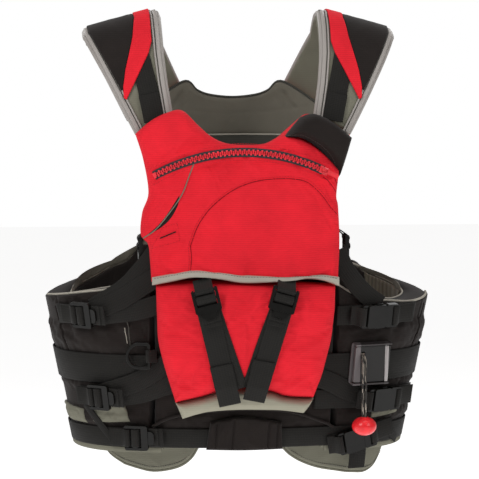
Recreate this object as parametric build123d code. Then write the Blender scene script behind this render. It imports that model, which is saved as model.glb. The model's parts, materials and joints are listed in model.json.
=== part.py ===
from build123d import *
import math
import os

# A rescue life jacket as it is worn. Millimetres, +Z up, front towards -Y, +X to the wearer's left.
# The origin is on the wearer's body axis, level with the lowest hem.

# Driving dimensions of the vest's outer cover.
HALF_WIDTH = 250
HALF_DEPTH = 140
FRONT_CENTRE = 400  # the front and back are arcs centred this far behind and ahead of the body axis
WIDEST = 225  # height of the widest level, where the arms pass
TAPER_DOWN = 0.20
TAPER_UP = 0.10
BARREL_LOW = -30
BARREL_HIGH = 530
HEM = 40
REACH = 300  # longer than any depth of the vest

FRONT_RADIUS = FRONT_CENTRE + HALF_DEPTH
SIDE_RADIUS = (2 * FRONT_CENTRE * HALF_DEPTH - HALF_WIDTH**2 + HALF_DEPTH**2) / (
    2 * (FRONT_CENTRE - HALF_WIDTH + HALF_DEPTH)
)
SIDE_CENTRE = HALF_WIDTH - SIDE_RADIUS
CORNER = math.atan2(SIDE_CENTRE, FRONT_CENTRE)
LEAN_DEG = math.degrees(math.atan(TAPER_DOWN))

# Depths of the sewn layers, measured outwards from the cover's outer face.
LINING = (-34, -32.6)
FOAM = (-32.2, -2.2)
COVER = (-1.8, 0)
STRAP = (0.6, 2.2)
SIDE_STRAP = (2.6, 4.2)
LOBE = (-26, -18)
POCKET = (4.4, 28)
POUCH = (4.4, 44)
TRIM = (4.4, 36)
LIP = (4.4, 33)
POUCH_STRAP = (44.6, 46.2)
TUNNEL = (4.4, 9)

# Webbing and hardware sizes.
WEBBING = 25
BELT = 38
THREAD_GAP = 0.4  # between pieces that are sewn side by side
BAR = 2.0  # radius of a lock's anchor bar
LOOP_BORE = 2.7
LOOP_OUTER = 4.2
LOCK_LIFT = 4.6  # height of an anchor bar over its webbing
BUCKLE_LIFT = 4.8
RELEASE_LIFT = 2.8
CORD = 2.8
CORD_APART = 1.6


def swell(z):
    """How much the jacket stands out at a height, against its widest level."""
    if z < WIDEST:
        return -TAPER_DOWN * (WIDEST - z)
    return -TAPER_UP * (z - WIDEST)


def plan(offset):
    """The closed plan section: two shallow arcs and two round sides."""
    reach = FRONT_RADIUS + offset
    x = reach * math.sin(CORNER)
    y = FRONT_CENTRE - reach * math.cos(CORNER)
    side = HALF_WIDTH + offset
    front = FRONT_CENTRE - reach
    return make_face(
        [
            ThreePointArc((-x, y), (0, front), (x, y)),
            ThreePointArc((x, y), (side, 0), (x, -y)),
            ThreePointArc((x, -y), (0, -front), (-x, -y)),
            ThreePointArc((-x, -y), (-side, 0), (-x, y)),
        ]
    )


BARRELS = {}


def barrel(offset):
    """The solid torso shape at an offset from the cover."""
    if offset not in BARRELS:
        levels = [Pos(0, 0, z) * plan(offset + swell(z)) for z in (BARREL_LOW, WIDEST, BARREL_HIGH)]
        BARRELS[offset] = loft(levels, ruled=True)
    return BARRELS[offset]


LAYERS = {}


def layer(depths):
    """A shell of the torso shape between two offsets."""
    if depths not in LAYERS:
        LAYERS[depths] = barrel(depths[1]) - barrel(depths[0])
    return LAYERS[depths]


def surface(x, z, offset, back=False):
    """The point of the torso shape at an offset, on the front or the back."""
    out = offset + swell(z)
    if abs(x) < (FRONT_RADIUS + out) * math.sin(CORNER):
        y = FRONT_CENTRE - math.sqrt((FRONT_RADIUS + out) ** 2 - x**2)
    else:
        y = -math.sqrt((SIDE_RADIUS + out) ** 2 - (abs(x) - SIDE_CENTRE) ** 2)
    return Vector(x, -y if back else y, z)


def seat(x, z, offset, turn=0, back=False):
    """A plane lying on the torso shape: its x runs level, its z points out, turned about z."""
    point = surface(x, z, offset, back)
    out = offset + swell(z)
    ahead = 1 if back else -1
    if abs(x) < (FRONT_RADIUS + out) * math.sin(CORNER):
        level = Vector(x, point.Y + ahead * FRONT_CENTRE, 0).normalized()
    else:
        level = Vector(x - math.copysign(SIDE_CENTRE, x), point.Y, 0).normalized()
    slope = -TAPER_DOWN if z < WIDEST else TAPER_UP
    normal = (level + Vector(0, 0, slope)).normalized()
    level_run = Vector(0, 0, 1).cross(normal).normalized()
    turned = level_run.rotate(Axis((0, 0, 0), normal), turn)
    return Plane(origin=point, x_dir=turned, z_dir=normal)


def outline(points, corner=0):
    """A closed outline in front view, its corners rounded where a radius is given."""
    if corner:
        return make_face(FilletPolyline(*points, radius=corner, close=True))
    return make_face(Polyline(*points, close=True))


def prism(face, back=False):
    """A front view outline carried through the front or the back of the vest."""
    return extrude(Plane.XZ * face, amount=-REACH if back else REACH)


def panel(points, depths, back=False, corner=0):
    """A sewn panel: a front view outline cut from one layer."""
    return layer(depths) & prism(outline(points, corner), back)


def mirrored(points):
    """Both halves of a symmetric outline, from its right half listed bottom to top."""
    return points + [(-x, z) for x, z in reversed(points) if x]


def strip(points, width):
    """The outline of webbing along a route in front view, mitred at its bends."""
    left, right = [], []
    for i, (x, z) in enumerate(points):
        before = points[max(i - 1, 0)]
        after = points[min(i + 1, len(points) - 1)]
        run = Vector(after[0] - before[0], after[1] - before[1], 0).normalized()
        left.append((x - run.Y * width / 2, z + run.X * width / 2))
        right.append((x + run.Y * width / 2, z - run.X * width / 2))
    return left + right[::-1]


def hoop(z, width, depths):
    """Webbing that goes all round the vest, centred on a height."""
    ring = Pos(0, 0, z) * Box(4 * HALF_WIDTH, 4 * HALF_WIDTH, width)
    return layer(depths) & ring


def save(part, name):
    export_step(part, f"parts/{name}.step")


# Front panel, wings and back, each a foam slab between its cover and its lining.
FRONT = [
    (116, HEM), (116, 262), (116, 300), (113, 372), (130, 442), (88, 466), (44, 432), (22, 421),
]
WING = [(116.6, HEM), (116.6, 256), (174, 243), (249, 233), (249, HEM)]
BACK = [
    (248, HEM), (248, 233), (180, 258), (150, 268), (129, 304), (129, 340), (166, 440), (70, 504), (32, 486),
]
LOBE_TOP = HEM - THREAD_GAP
HEM_LOBES = [
    [(-172, LOBE_TOP), (-152, 20), (-114, 9), (-77, 17), (-56, LOBE_TOP)],
    [(52, LOBE_TOP), (78, 20), (120, 7), (160, 2), (178, 18), (186, LOBE_TOP)],
]


def fabric_stack(name, points, back=False, flipped=False):
    """The lining, foam and cover of one panel, or of its mirror image."""
    for part_name, depths in (("lining", LINING), ("foam", FOAM), ("cover", COVER)):
        body = panel(points, depths, back)
        save(mirror(body, about=Plane.YZ) if flipped else body, f"{name}_{part_name}")


def vest_panels():
    fabric_stack("front", mirrored(FRONT))
    fabric_stack("right_wing", WING)
    fabric_stack("left_wing", WING, flipped=True)
    fabric_stack("back", mirrored(BACK), back=True)
    lobes = Part()
    for points in HEM_LOBES:
        lobes += panel(points, LOBE)
    save(lobes, "hem_lobes")


# Shoulder straps: an arch in side view, cut to its front view outline.
STRAP_SLOPE = 15
ARCH_BASE = 450
ARCH_DEPTH = 104
ARCH_RISE = 154.5
PAD_THICK = 15
STRAP_FRONT = [(205, 620), (205, 574), (137, 446), (90, 470), (101, 544), (105, 620)]
STRAP_BACK = [(205, 620), (205, 574), (146, 460), (72, 508), (103, 571), (105, 620)]
STRAP_RUN_FRONT = [(112, 460), (120, 500), (134, 560), (146, 620)]
STRAP_RUN_BACK = [(122, 478), (134, 560), (146, 620)]
YOKE_FRONT = [(197, 620), (197, 572), (152, 492), (150, 516), (137, 560), (133, 620)]
YOKE_BACK = [(197, 620), (197, 572), (144, 476), (120, 494), (133, 560), (133, 620)]
STRIPE_FRONT = [
    (132.6, 620), (136.6, 560), (149.6, 516), (146, 484), (112, 552), (114, 596), (112, 620),
]
STRIPE_BACK = [(132.6, 620), (132.6, 580), (112, 580), (112, 620)]
ARCH_REACH_DOWN = 40  # how far the arch's ends run below its widest level
PIPING = 3
PIPING_FOOT = 470
ARCH_LAYERS = {"pad": (-PAD_THICK, 0), "webbing": (0.5, 2.1), "yoke": (2.6, 4.2), "piping": (-9, -5)}


def arch(depths):
    """A strap's bent slab between two depths, over the right shoulder and far past its edges."""
    inner, outer = depths
    ring = Ellipse(ARCH_DEPTH + outer, ARCH_RISE + outer) - Ellipse(ARCH_DEPTH + inner, ARCH_RISE + inner)
    slab = extrude(Plane.YZ * ring, amount=REACH, both=True)
    keep = Pos(0, 0, REACH / 2 - ARCH_REACH_DOWN) * Box(2 * REACH, REACH, REACH)
    return Rot(0, STRAP_SLOPE, 0) * Pos(0, 0, ARCH_BASE) * (slab & keep)


def shoulder(front, back, depths):
    """A piece of the right strap, from its outlines on the front and on the back."""
    slab = arch(depths)
    return (slab & prism(front)) + (slab & prism(back, back=True))


def both(part):
    """The piece and its mirror image over the other shoulder."""
    return part + mirror(part, about=Plane.YZ)


def shoulders():
    front = outline(STRAP_FRONT)
    back = outline(STRAP_BACK)
    inner_front = offset(front, -PIPING)
    inner_back = offset(back, -PIPING)
    pad = shoulder(inner_front, inner_back, ARCH_LAYERS["pad"])
    save(pad, "right_shoulder_pad")
    save(mirror(pad, about=Plane.YZ), "left_shoulder_pad")
    gap = THREAD_GAP
    rim_front = front - offset(front, gap - PIPING)
    rim_back = back - offset(back, gap - PIPING)
    above = Pos(0, 0, PIPING_FOOT + REACH / 2) * Box(4 * HALF_WIDTH, 4 * HALF_WIDTH, REACH)
    save(both(shoulder(rim_front, rim_back, ARCH_LAYERS["piping"]) & above), "shoulder_piping")
    front_run = outline(strip(STRAP_RUN_FRONT, WEBBING))
    back_run = outline(strip(STRAP_RUN_BACK, WEBBING))
    save(both(shoulder(front_run, back_run, ARCH_LAYERS["webbing"])), "shoulder_webbing")
    yoke = shoulder(outline(YOKE_FRONT), outline(YOKE_BACK), ARCH_LAYERS["yoke"])
    save(both(yoke), "shoulder_yokes")
    stripe = shoulder(outline(STRIPE_FRONT), outline(STRIPE_BACK), ARCH_LAYERS["yoke"])
    save(both(stripe), "shoulder_stripes")


# The chest pocket, the black band over one shoulder, and the lip along the pocket's foot.
CHEST = [
    (-123, 300), (-131, 318), (-128, 345), (-121, 372), (-128, 420), (-134, 448), (-80, 473), (-42, 434),
    (-22, 424), (26, 425), (47, 437), (70, 438), (97, 423), (118, 391), (117, 360), (118, 265),
    (70, 272), (-6, 271), (-66, 276), (-118, 272),
]
BAND = [(50, 440), (70, 441), (99, 426), (119, 396), (134, 443), (94, 467), (74, 464)]
LIP_LINE = [(-118, 265), (-66, 269.5), (-6, 265), (70, 265.5), (116, 259)]
LIP_WIDTH = 9
FLAP = [
    (-122, 312), (-108, 324), (-92, 346), (-78, 368), (-68, 400),
    (-63, 400), (-73, 366), (-88, 342), (-104, 319), (-118, 307),
]
FLAP_DEPTHS = (28.6, 30.2)


def chest():
    save(panel(BAND, POCKET), "shoulder_band")
    save(panel(strip(LIP_LINE, LIP_WIDTH), LIP), "pocket_lip")
    save(panel(FLAP, FLAP_DEPTHS), "hand_flap")
    return panel(CHEST, POCKET)


# The arched zipper lies on one circle, so that its slider can turn about the circle's axis.
ZIP_OFFSET = 29.2
ZIP_POINTS = [(-114, 392), (-12, 421), (96, 398)]  # left end, top and right end
SLIT = 1.2  # between the two tapes, where the slider's post runs
TAPE = (13, 0, 1.0)  # width, then heights over the tape's underside
TEETH = (5, 1.0, 2.4)
SLIDER_ROOF = (9, 2.9, 4.2)
SLIDER_FLOOR = (9, -1.6, -0.4)
SLIDER_POST = (0.6, -0.6, 3.0)
CHANNEL = (15, -2.4, 12)
SLIDER_DEG = 3.0
CHANNEL_PAST_DEG = 9
PULL_LENGTH = 16
PULL_START = 3.9  # clear of the slider's lug as the pull turns
PULL_FORK = (-1, 5.4)
PULL_SLOT = 3.6
LUG = (5.0, 3.0, 4.0)
PIN_PLAY = 0.05
PULL_WIDTH = 5.5
PULL_THICK = 1.4
PULL_PIN = 1.0
PULL_HEIGHT = 6.2  # of the pull's pin over the tape's underside


def zip_circle():
    """The plane of the zipper's circle, its x at the left end, with the radius and the sweep."""
    left, top, right = [surface(x, z, ZIP_OFFSET) for x, z in ZIP_POINTS]
    ab, ac = top - left, right - left
    axis = ab.cross(ac)
    scale = 0.5 / axis.dot(axis)
    centre = left + (axis.cross(ab) * ac.dot(ac) + ac.cross(axis) * ab.dot(ab)) * scale
    frame = Plane(origin=centre, x_dir=left - centre, z_dir=axis)
    return frame, (left - centre).length, (left - centre).get_angle(right - centre)


def zip_band(shape, first, last, slit=0.0):
    """A band that follows the zipper between two angles, lying flat on the fabric."""
    frame, radius, sweep_deg = zip_circle()
    width, low, high = shape
    normal = seat(*ZIP_POINTS[1], ZIP_OFFSET).z_dir
    outwards = (surface(*ZIP_POINTS[1], ZIP_OFFSET) - frame.origin).normalized()
    lean = math.degrees(math.atan2(normal.dot(frame.z_dir), normal.dot(outwards))) - 90
    section = Rectangle(width, high - low)
    if slit:
        section -= Rectangle(slit, high - low)
    placed = Plane.XZ * Pos(radius, 0) * Rot(0, 0, lean) * Pos(0, (low + high) / 2) * section
    return frame * Rot(0, 0, first) * revolve(placed, axis=Axis.Z, revolution_arc=last - first)


def pull_plane():
    """Where the pull is pinned: its x runs on past the zipper's right end, its z out."""
    frame, radius, sweep_deg = zip_circle()
    end = math.radians(sweep_deg)
    spoke = frame.from_local_coords(Vector(math.cos(end), math.sin(end), 0)) - frame.origin
    along = frame.from_local_coords(Vector(-math.sin(end), math.cos(end), 0)) - frame.origin
    normal = seat(*ZIP_POINTS[2], ZIP_OFFSET).z_dir
    foot = frame.origin + spoke * radius
    return Plane(origin=foot + normal * PULL_HEIGHT, x_dir=along, z_dir=normal)


def zipper(pocket):
    frame, radius, sweep_deg = zip_circle()
    pin_place = pull_plane()
    save(zip_band(TAPE, 0, sweep_deg, SLIT), "zipper_tape")
    save(zip_band(TEETH, 0, sweep_deg, SLIT), "zipper_teeth")
    half = SLIDER_DEG / 2
    slider = zip_band(SLIDER_ROOF, sweep_deg - half, sweep_deg + half)
    slider += zip_band(SLIDER_FLOOR, sweep_deg - half, sweep_deg + half)
    slider += zip_band(SLIDER_POST, sweep_deg - half / 3, sweep_deg + half)
    slider += pin_place * Box(*LUG)
    hole = pin_place * Rot(90, 0, 0) * Cylinder(PULL_PIN + PIN_PLAY, 2 * PULL_WIDTH)
    save(slider - hole, "zipper_slider")
    pin = Rot(90, 0, 0) * Cylinder(PULL_PIN, PULL_WIDTH + 1)
    blade = Pos(PULL_START + PULL_LENGTH / 2, 0, 0) * Box(PULL_LENGTH, PULL_WIDTH, PULL_THICK)
    blade = fillet(blade.edges().filter_by(Axis.Z), 2)
    fork = span_box(PULL_FORK, PULL_WIDTH + 1, 2 * PULL_PIN) - span_box(PULL_FORK, PULL_SLOT, 3 * PULL_PIN)
    save(pin_place * (pin + fork + blade), "zipper_pull")
    channel = zip_band(CHANNEL, -2, sweep_deg + CHANNEL_PAST_DEG)
    save(pocket - channel, "chest_pocket")
    print("zipper centre", frame.origin, "axis", frame.z_dir, "radius", radius, "sweep", sweep_deg)
    print("pull at", pin_place.origin, "axis", pin_place.y_dir)


# The lower pouch, its trim and the two straps that hold its mouth.
POUCH_OUTLINE = [
    (-115, 256), (-113, 191), (-102, 149), (-89, 106),
    (-12, 127), (86, 111), (97, 146), (108, 190), (113, 254),
]
TRIM_OUTLINE = [(-88, 105), (-12, 126), (85, 110), (76, 92), (25, 95.5), (-43, 94), (-81, 86)]
POUCH_STRAPS = [((-57, 256), (-22, 112)), ((49, 256), (9, 116))]
POUCH_LOCKS = [("left_pouch_lock", -55, 253, -76), ("right_pouch_lock", 46, 253, -106)]


def lower_pouch():
    save(panel(POUCH_OUTLINE, POUCH), "lower_pouch")
    save(panel(TRIM_OUTLINE, TRIM), "pouch_trim")
    straps = Part()
    for ends in POUCH_STRAPS:
        straps += panel(strip(list(ends), WEBBING), POUCH_STRAP)
    for name, x, z, turn in POUCH_LOCKS:
        place = seat(x, z, POUCH_STRAP[1] + LOCK_LIFT, turn)
        save(place * ladder_lock(), name)
        straps += place * bar_loop(LOOP_BORE)
        print(name, place.origin, "axis", place.y_dir)
    save(straps, "pouch_straps")


# Hardware, each piece in its own frame: x along the webbing, z away from the fabric.
LOCK_INSIDE = 26
LOCK_OUTSIDE = 33
LOCK_THICK = 5
LOCK_WINDOW = (-3.6, 8.5)
LOCK_SLOT = (12.5, 18.5)
LOCK_END = 27
TONGUE = 8


def span_box(x_span, width, thick):
    """A plate between two x values, centred on y and z."""
    return Pos(sum(x_span) / 2, 0, 0) * Box(x_span[1] - x_span[0], width, thick)


def ladder_lock():
    """A strap adjuster: anchor bar, middle bar, gripping bar and a rounded thumb tongue."""
    plate = fillet(span_box((-3.5, LOCK_END), LOCK_OUTSIDE, LOCK_THICK).edges().filter_by(Axis.Z), 3)
    tongue = fillet(span_box((LOCK_END - 6, LOCK_END + TONGUE), 18, 3).edges().filter_by(Axis.Z), 5)
    bar = Rot(90, 0, 0) * Cylinder(BAR, LOCK_INSIDE + 2)
    windows = span_box(LOCK_WINDOW, LOCK_INSIDE, 9) + span_box(LOCK_SLOT, LOCK_INSIDE, 9)
    return plate + tongue - windows + bar


def bar_loop(bore, width=WEBBING - 3, tail_length=24):
    """Webbing sewn round an anchor bar, with its tail lying on the fabric behind it."""
    loop = Rot(90, 0, 0) * Cylinder(LOOP_OUTER, width)
    tail = Pos(-tail_length / 2, 0, -LOOP_OUTER + 0.8) * Box(tail_length, width, 1.6)
    return loop + tail - Rot(90, 0, 0) * Cylinder(bore, WEBBING)


RING_WIDE = 34
RING_LONG = 32
RING_WIRE = 4
RING_BORE = 3.2
RING_CORNER = 4
RING_TAB = 16


def bow(inset):
    """The outline of a D, inset from the ring's outer edge: a straight side, then a half circle."""
    half = RING_WIDE / 2 - inset
    start = inset - RING_WIRE / 2
    centre = RING_LONG - RING_WIRE / 2 - RING_WIDE / 2
    corner = RING_CORNER - inset / 2
    near = corner * (1 - math.sqrt(0.5))
    return make_face(
        [
            Line((start + corner, -half), (centre, -half)),
            ThreePointArc((centre, -half), (centre + half, 0), (centre, half)),
            Line((centre, half), (start + corner, half)),
            ThreePointArc((start + corner, half), (start + near, half - near), (start, half - corner)),
            Line((start, half - corner), (start, corner - half)),
            ThreePointArc((start, corner - half), (start + near, near - half), (start + corner, -half)),
        ]
    )


def tether_ring():
    """A D-ring: its straight side lies at the origin, its bow towards +x."""
    ring = extrude(bow(0) - bow(RING_WIRE), amount=RING_WIRE / 2, both=True)
    return fillet(ring.edges().filter_by(Plane.XY), RING_WIRE / 4)


SOCKET_WIDE = 30
SOCKET_TALL = 10
SOCKET_PLATE = 1.8
SOCKET_DEEP = 20
SOCKET_BACK = 26
SOCKET_BAR = 34
PLUG_GAP = 0.6
PLUG_BASE = 7
PLUG_END = 17
PRONG_ROOT = 2.4
PRONG_AT = (-2.0, 9.0)
PRONG_OUT = 16.4
TONGUE_WIDE = 5
INNER_TALL = 5.2
RELEASE_TRAVEL = 25


def rounded_plate(x_span, width, low, high, corner):
    """A plate with rounded corners between two heights."""
    face = Pos(sum(x_span) / 2, 0) * RectangleRounded(x_span[1] - x_span[0], width, corner)
    return Pos(0, 0, low) * extrude(face, amount=high - low)


def buckle_socket():
    """The half of a side-release buckle that pulls off, open at its mouth and at both sides."""
    reach = (-SOCKET_BACK, 0)
    body = rounded_plate(reach, SOCKET_WIDE, 0, SOCKET_TALL, 3)
    mouth = Pos(-SOCKET_DEEP / 2 + 2, 0, SOCKET_TALL / 2) * Box(
        SOCKET_DEEP + 4, 2 * SOCKET_WIDE, SOCKET_TALL - 2 * SOCKET_PLATE
    )
    ladder = rounded_plate((-SOCKET_BAR, -SOCKET_BACK + 4), SOCKET_WIDE, 2, 8, 3)
    slot = Pos(-SOCKET_BACK - 2.5, 0, SOCKET_TALL / 2) * Box(4.5, WEBBING, 20)
    return body + ladder - mouth - slot


def buckle_plug():
    """The sewn half: a strap bar outside the mouth and a guide tongue inside it."""
    base = rounded_plate((PLUG_GAP, PLUG_END), SOCKET_WIDE, 1, SOCKET_TALL - 1, 2.5)
    slot = Pos(PLUG_BASE + 4, 0, SOCKET_TALL / 2) * Box(4.5, WEBBING, 20)
    tongue = Pos(-6, 0, SOCKET_TALL / 2) * Box(16, TONGUE_WIDE, INNER_TALL)
    return base + tongue - slot


def buckle_prong():
    """One sprung arm of the plug, with the shoulder that a finger squeezes."""
    x, y = PRONG_AT
    root = Pos(x, y) * Circle(PRONG_ROOT)
    arm = make_face(
        Polyline(
            (x, y - PRONG_ROOT), (x, y + PRONG_ROOT), (-7, PRONG_OUT), (-13, PRONG_OUT), (-18, 10), (-18, 6),
            close=True,
        )
    )
    low = (SOCKET_TALL - INNER_TALL) / 2
    return Pos(0, 0, low) * extrude(root + arm, amount=INNER_TALL)


FRAME_SIDE = 54
FRAME_PLATE = 1.8
EAR_THICK = 2
EAR_HIGH = 10.5
PIN_RADIUS = 1.5
PIN_X = 21
PIN_Z = 6.6
KNUCKLE = 3.4
LEVER_HALF = 23.6
LEVER_LOW = 4.4
LEVER_HIGH = 8.4
LEVER_FREE = -24
CORD_HOLE = (-14, 14)
CORD_HOLE_RADIUS = 3.3


def release_frame():
    """The quick release's base, with an ear above and below that hold the lever's pin."""
    frame = rounded_plate((-27, 27), FRAME_SIDE, 0, FRAME_PLATE, 3)
    ear = Box(FRAME_SIDE - 4, EAR_THICK, EAR_HIGH)
    for end in (-1, 1):
        frame += Pos(0, end * (FRAME_SIDE / 2 - EAR_THICK / 2), EAR_HIGH / 2) * ear
    return frame - Pos(PIN_X, 0, PIN_Z) * Rot(90, 0, 0) * Cylinder(PIN_RADIUS, 2 * FRAME_SIDE)


def release_pin():
    return Pos(PIN_X, 0, PIN_Z) * Rot(90, 0, 0) * Cylinder(PIN_RADIUS, FRAME_SIDE + 1)


def release_lever():
    """The cover plate that swings up from its free end, with the hole for the pull cord."""
    plate = rounded_plate((LEVER_FREE, PIN_X), 2 * LEVER_HALF, LEVER_LOW, LEVER_HIGH, 2)
    plate += Pos(PIN_X, 0, PIN_Z) * Rot(90, 0, 0) * Cylinder(KNUCKLE, 2 * LEVER_HALF)
    plate -= Pos(PIN_X, 0, PIN_Z) * Rot(90, 0, 0) * Cylinder(PIN_RADIUS + 0.06, 2 * FRAME_SIDE)
    return plate - Pos(*CORD_HOLE, 0) * Cylinder(CORD_HOLE_RADIUS, 60)


# Where the hardware sits: x, height and turn on the cover.
LEFT_LOCKS = [
    ("ladder_lock_top", -213, 215, 0),
    ("ladder_lock_middle", -192, 109, 0),
    ("ladder_lock_low", -147, 57.5, 0),
]
SHOULDER_LOCKS = [("left_shoulder_lock", -130), ("right_shoulder_lock", 130)]
SHOULDER_LOCK_Y = -99
SHOULDER_LOCK_Z = 311
BUCKLES = [("top", 176, 214, 0), ("middle", 184, 104, 0), ("low", 152, 55, 14)]
RELEASE_SEAT = (160, 152)
TETHER = (-120, 165)
TETHER_CLEAR = 1.8  # the ring's bar stands upright, off the leaning cover
TETHER_TAIL = 8
TOW = (0, 167)
SIDE_WEBBING = [[(-118.5, 292), (-150, 246), (-178, 228)], [(118.5, 292), (150, 240), (186, 228)]]
TUNNEL_OUTLINE = [(-50, 45), (-50, 80), (-2, 88), (46, 80), (46, 45)]
BALL_WIDE = 31
BALL_HIGH = 24
BALL_DROP = 90
BALL_BORE = 3.6
BALL_BORE_DEEP = 7
CORD_END_GAP = 0.05
CORD_OUT = 7.0  # how far the cords stand out of the lever before they hang


def belts():
    """The webbing that goes round the vest, and the two short runs up to the shoulder locks."""
    save(hoop(146, BELT, STRAP), "rescue_belt")
    save(hoop(56.5, WEBBING, STRAP), "hem_belt")
    save(panel(TUNNEL_OUTLINE, TUNNEL), "belt_tunnel")
    straps = hoop(214.5, WEBBING, STRAP) + hoop(104.5, WEBBING, STRAP)
    for route in SIDE_WEBBING:
        straps += panel(strip(route, WEBBING), SIDE_STRAP)
    for name, x, z, turn in LEFT_LOCKS:
        place = seat(x, z, SIDE_STRAP[1] + LOCK_LIFT, turn)
        save(place * ladder_lock(), name)
        straps += place * bar_loop(LOOP_BORE)
        print(name, place.origin, "axis", place.y_dir)
    for name, x in SHOULDER_LOCKS:
        out = Vector(math.copysign(1, x), 0, 0)
        place = Plane(origin=(x, SHOULDER_LOCK_Y, SHOULDER_LOCK_Z), x_dir=(0, 0, -1), z_dir=out)
        save(place * ladder_lock(), name)
        straps += place * bar_loop(LOOP_BORE)
        print(name, place.origin, "axis", place.y_dir)
    save(straps, "wing_straps")


def rings():
    """The tether ring, on its side on the wing, and the tow ring, hanging on the back."""
    side = seat(*TETHER, STRAP[1] + LOCK_LIFT + TETHER_CLEAR)
    level = Vector(side.z_dir.X, side.z_dir.Y, 0)
    tether = Plane(origin=side.origin, x_dir=side.x_dir * -1, z_dir=level)
    tabs = tether * bar_loop(RING_BORE, RING_TAB, TETHER_TAIL)
    save(tether * tether_ring(), "tether_ring")
    tow = Plane(origin=seat(*TOW, STRAP[1] + LOCK_LIFT, 0, True).origin, x_dir=(0, 0, -1), z_dir=(0, 1, 0))
    tabs += tow * Rot(0, LEAN_DEG, 0) * bar_loop(RING_BORE, RING_TAB)
    save(tow * tether_ring(), "tow_ring")
    save(tabs, "ring_tabs")
    for name, place in (("tether_ring", tether), ("tow_ring", tow)):
        print(name, place.origin, "axis", place.y_dir, "out", place.z_dir)


def buckles():
    """Three side-release buckles: sewn plugs with two prongs each, and sockets that pull off."""
    plugs = Part()
    for name, x, z, turn in BUCKLES:
        place = seat(x, z, BUCKLE_LIFT, turn)
        plugs += place * buckle_plug()
        save(place * buckle_socket(), f"buckle_socket_{name}")
        save(place * buckle_prong(), f"prong_upper_{name}")
        save(place * mirror(buckle_prong(), about=Plane.XZ), f"prong_lower_{name}")
        roots = [place.from_local_coords(Vector(PRONG_AT[0], s * PRONG_AT[1], 5)) for s in (1, -1)]
        print("buckle", name, "plug side", place.x_dir, "normal", place.z_dir, "prongs", roots)
    save(plugs, "buckle_plugs")


def quick_release():
    """The rescue belt's release: frame, pin, lever, and the ball on two hanging cords."""
    place = seat(*RELEASE_SEAT, RELEASE_LIFT)
    save(place * release_frame(), "release_frame")
    save(place * release_pin(), "release_pin")
    save(place * release_lever(), "release_lever")
    pin = place.from_local_coords(Vector(PIN_X, 0, PIN_Z))
    print("release pin", pin, "axis", place.y_dir, "normal", place.z_dir)
    hole = place.from_local_coords(Vector(*CORD_HOLE, (LEVER_LOW + LEVER_HIGH) / 2))
    out = hole + place.z_dir * CORD_OUT
    ball_top = out + Vector(0, 0, -BALL_DROP + BALL_HIGH / 2)
    ball = Pos(*(ball_top - Vector(0, 0, BALL_HIGH / 2))) * scale(
        Sphere(BALL_WIDE / 2), by=(1, 1, BALL_HIGH / BALL_WIDE)
    )
    bore_floor = ball_top - Vector(0, 0, BALL_BORE_DEEP)
    bore = Pos(*(bore_floor + Vector(0, 0, BALL_HIGH / 2))) * Cylinder(BALL_BORE, BALL_HIGH)
    save(ball - bore, "release_ball")
    print("cord hole", hole, "ball", ball_top)
    for name, side in (("release_cord_left", -1), ("release_cord_right", 1)):
        apart = place.x_dir * (side * CORD_APART)
        route = [
            hole + apart,
            out + apart,
            (out + bore_floor) * 0.5 + apart * 1.5,
            bore_floor + Vector(side * CORD_APART, 0, CORD_END_GAP),
        ]
        save(cord(route, CORD, name), name)


def cord(route, diameter, name):
    """A round cord along straight runs and the arcs that join them."""
    runs = [b - a for a, b in zip(route, route[1:])]
    radii = []
    for before, after in zip(runs, runs[1:]):
        half_turn = math.radians(before.get_angle(after)) / 2
        radii.append(0.45 * min(before.length, after.length) / math.tan(half_turn))
    path = FilletPolyline(*route, radius=radii)
    section = Plane(origin=route[0], z_dir=runs[0]) * Circle(diameter / 2)
    print(name, "radii", [round(r, 1) for r in radii], "length", round(path.length, 1))
    print(name, "route", [tuple(round(c, 2) for c in point) for point in route])
    return sweep(section, path=path)


os.makedirs("parts", exist_ok=True)
vest_panels()
shoulders()
zipper(chest())
lower_pouch()
belts()
rings()
buckles()
quick_release()
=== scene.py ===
"""A rescue life jacket as it is worn: soft panels, webbing and trim round the CAD frame's hardware."""
import json
import math

import bpy
import bmesh
import numpy as np
from mathutils import Matrix, Vector
from mathutils.bvhtree import BVHTree

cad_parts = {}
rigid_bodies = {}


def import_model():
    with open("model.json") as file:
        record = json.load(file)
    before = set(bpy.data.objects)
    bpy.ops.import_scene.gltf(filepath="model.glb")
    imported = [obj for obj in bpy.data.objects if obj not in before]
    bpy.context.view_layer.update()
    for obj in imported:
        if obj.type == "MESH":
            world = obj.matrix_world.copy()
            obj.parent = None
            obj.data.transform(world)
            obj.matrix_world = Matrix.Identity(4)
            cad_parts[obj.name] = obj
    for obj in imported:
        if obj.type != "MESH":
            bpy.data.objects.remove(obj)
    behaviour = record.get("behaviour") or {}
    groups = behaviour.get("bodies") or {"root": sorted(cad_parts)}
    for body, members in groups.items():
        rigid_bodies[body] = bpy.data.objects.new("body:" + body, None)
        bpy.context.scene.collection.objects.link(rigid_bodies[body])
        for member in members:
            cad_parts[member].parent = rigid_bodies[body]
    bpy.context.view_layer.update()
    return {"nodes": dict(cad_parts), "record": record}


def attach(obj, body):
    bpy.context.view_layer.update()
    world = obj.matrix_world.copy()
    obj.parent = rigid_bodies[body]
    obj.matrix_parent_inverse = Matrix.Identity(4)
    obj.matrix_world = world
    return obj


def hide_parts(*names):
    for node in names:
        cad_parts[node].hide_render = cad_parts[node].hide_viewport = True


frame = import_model()
BODY = "vest"
MM = 0.001

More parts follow.
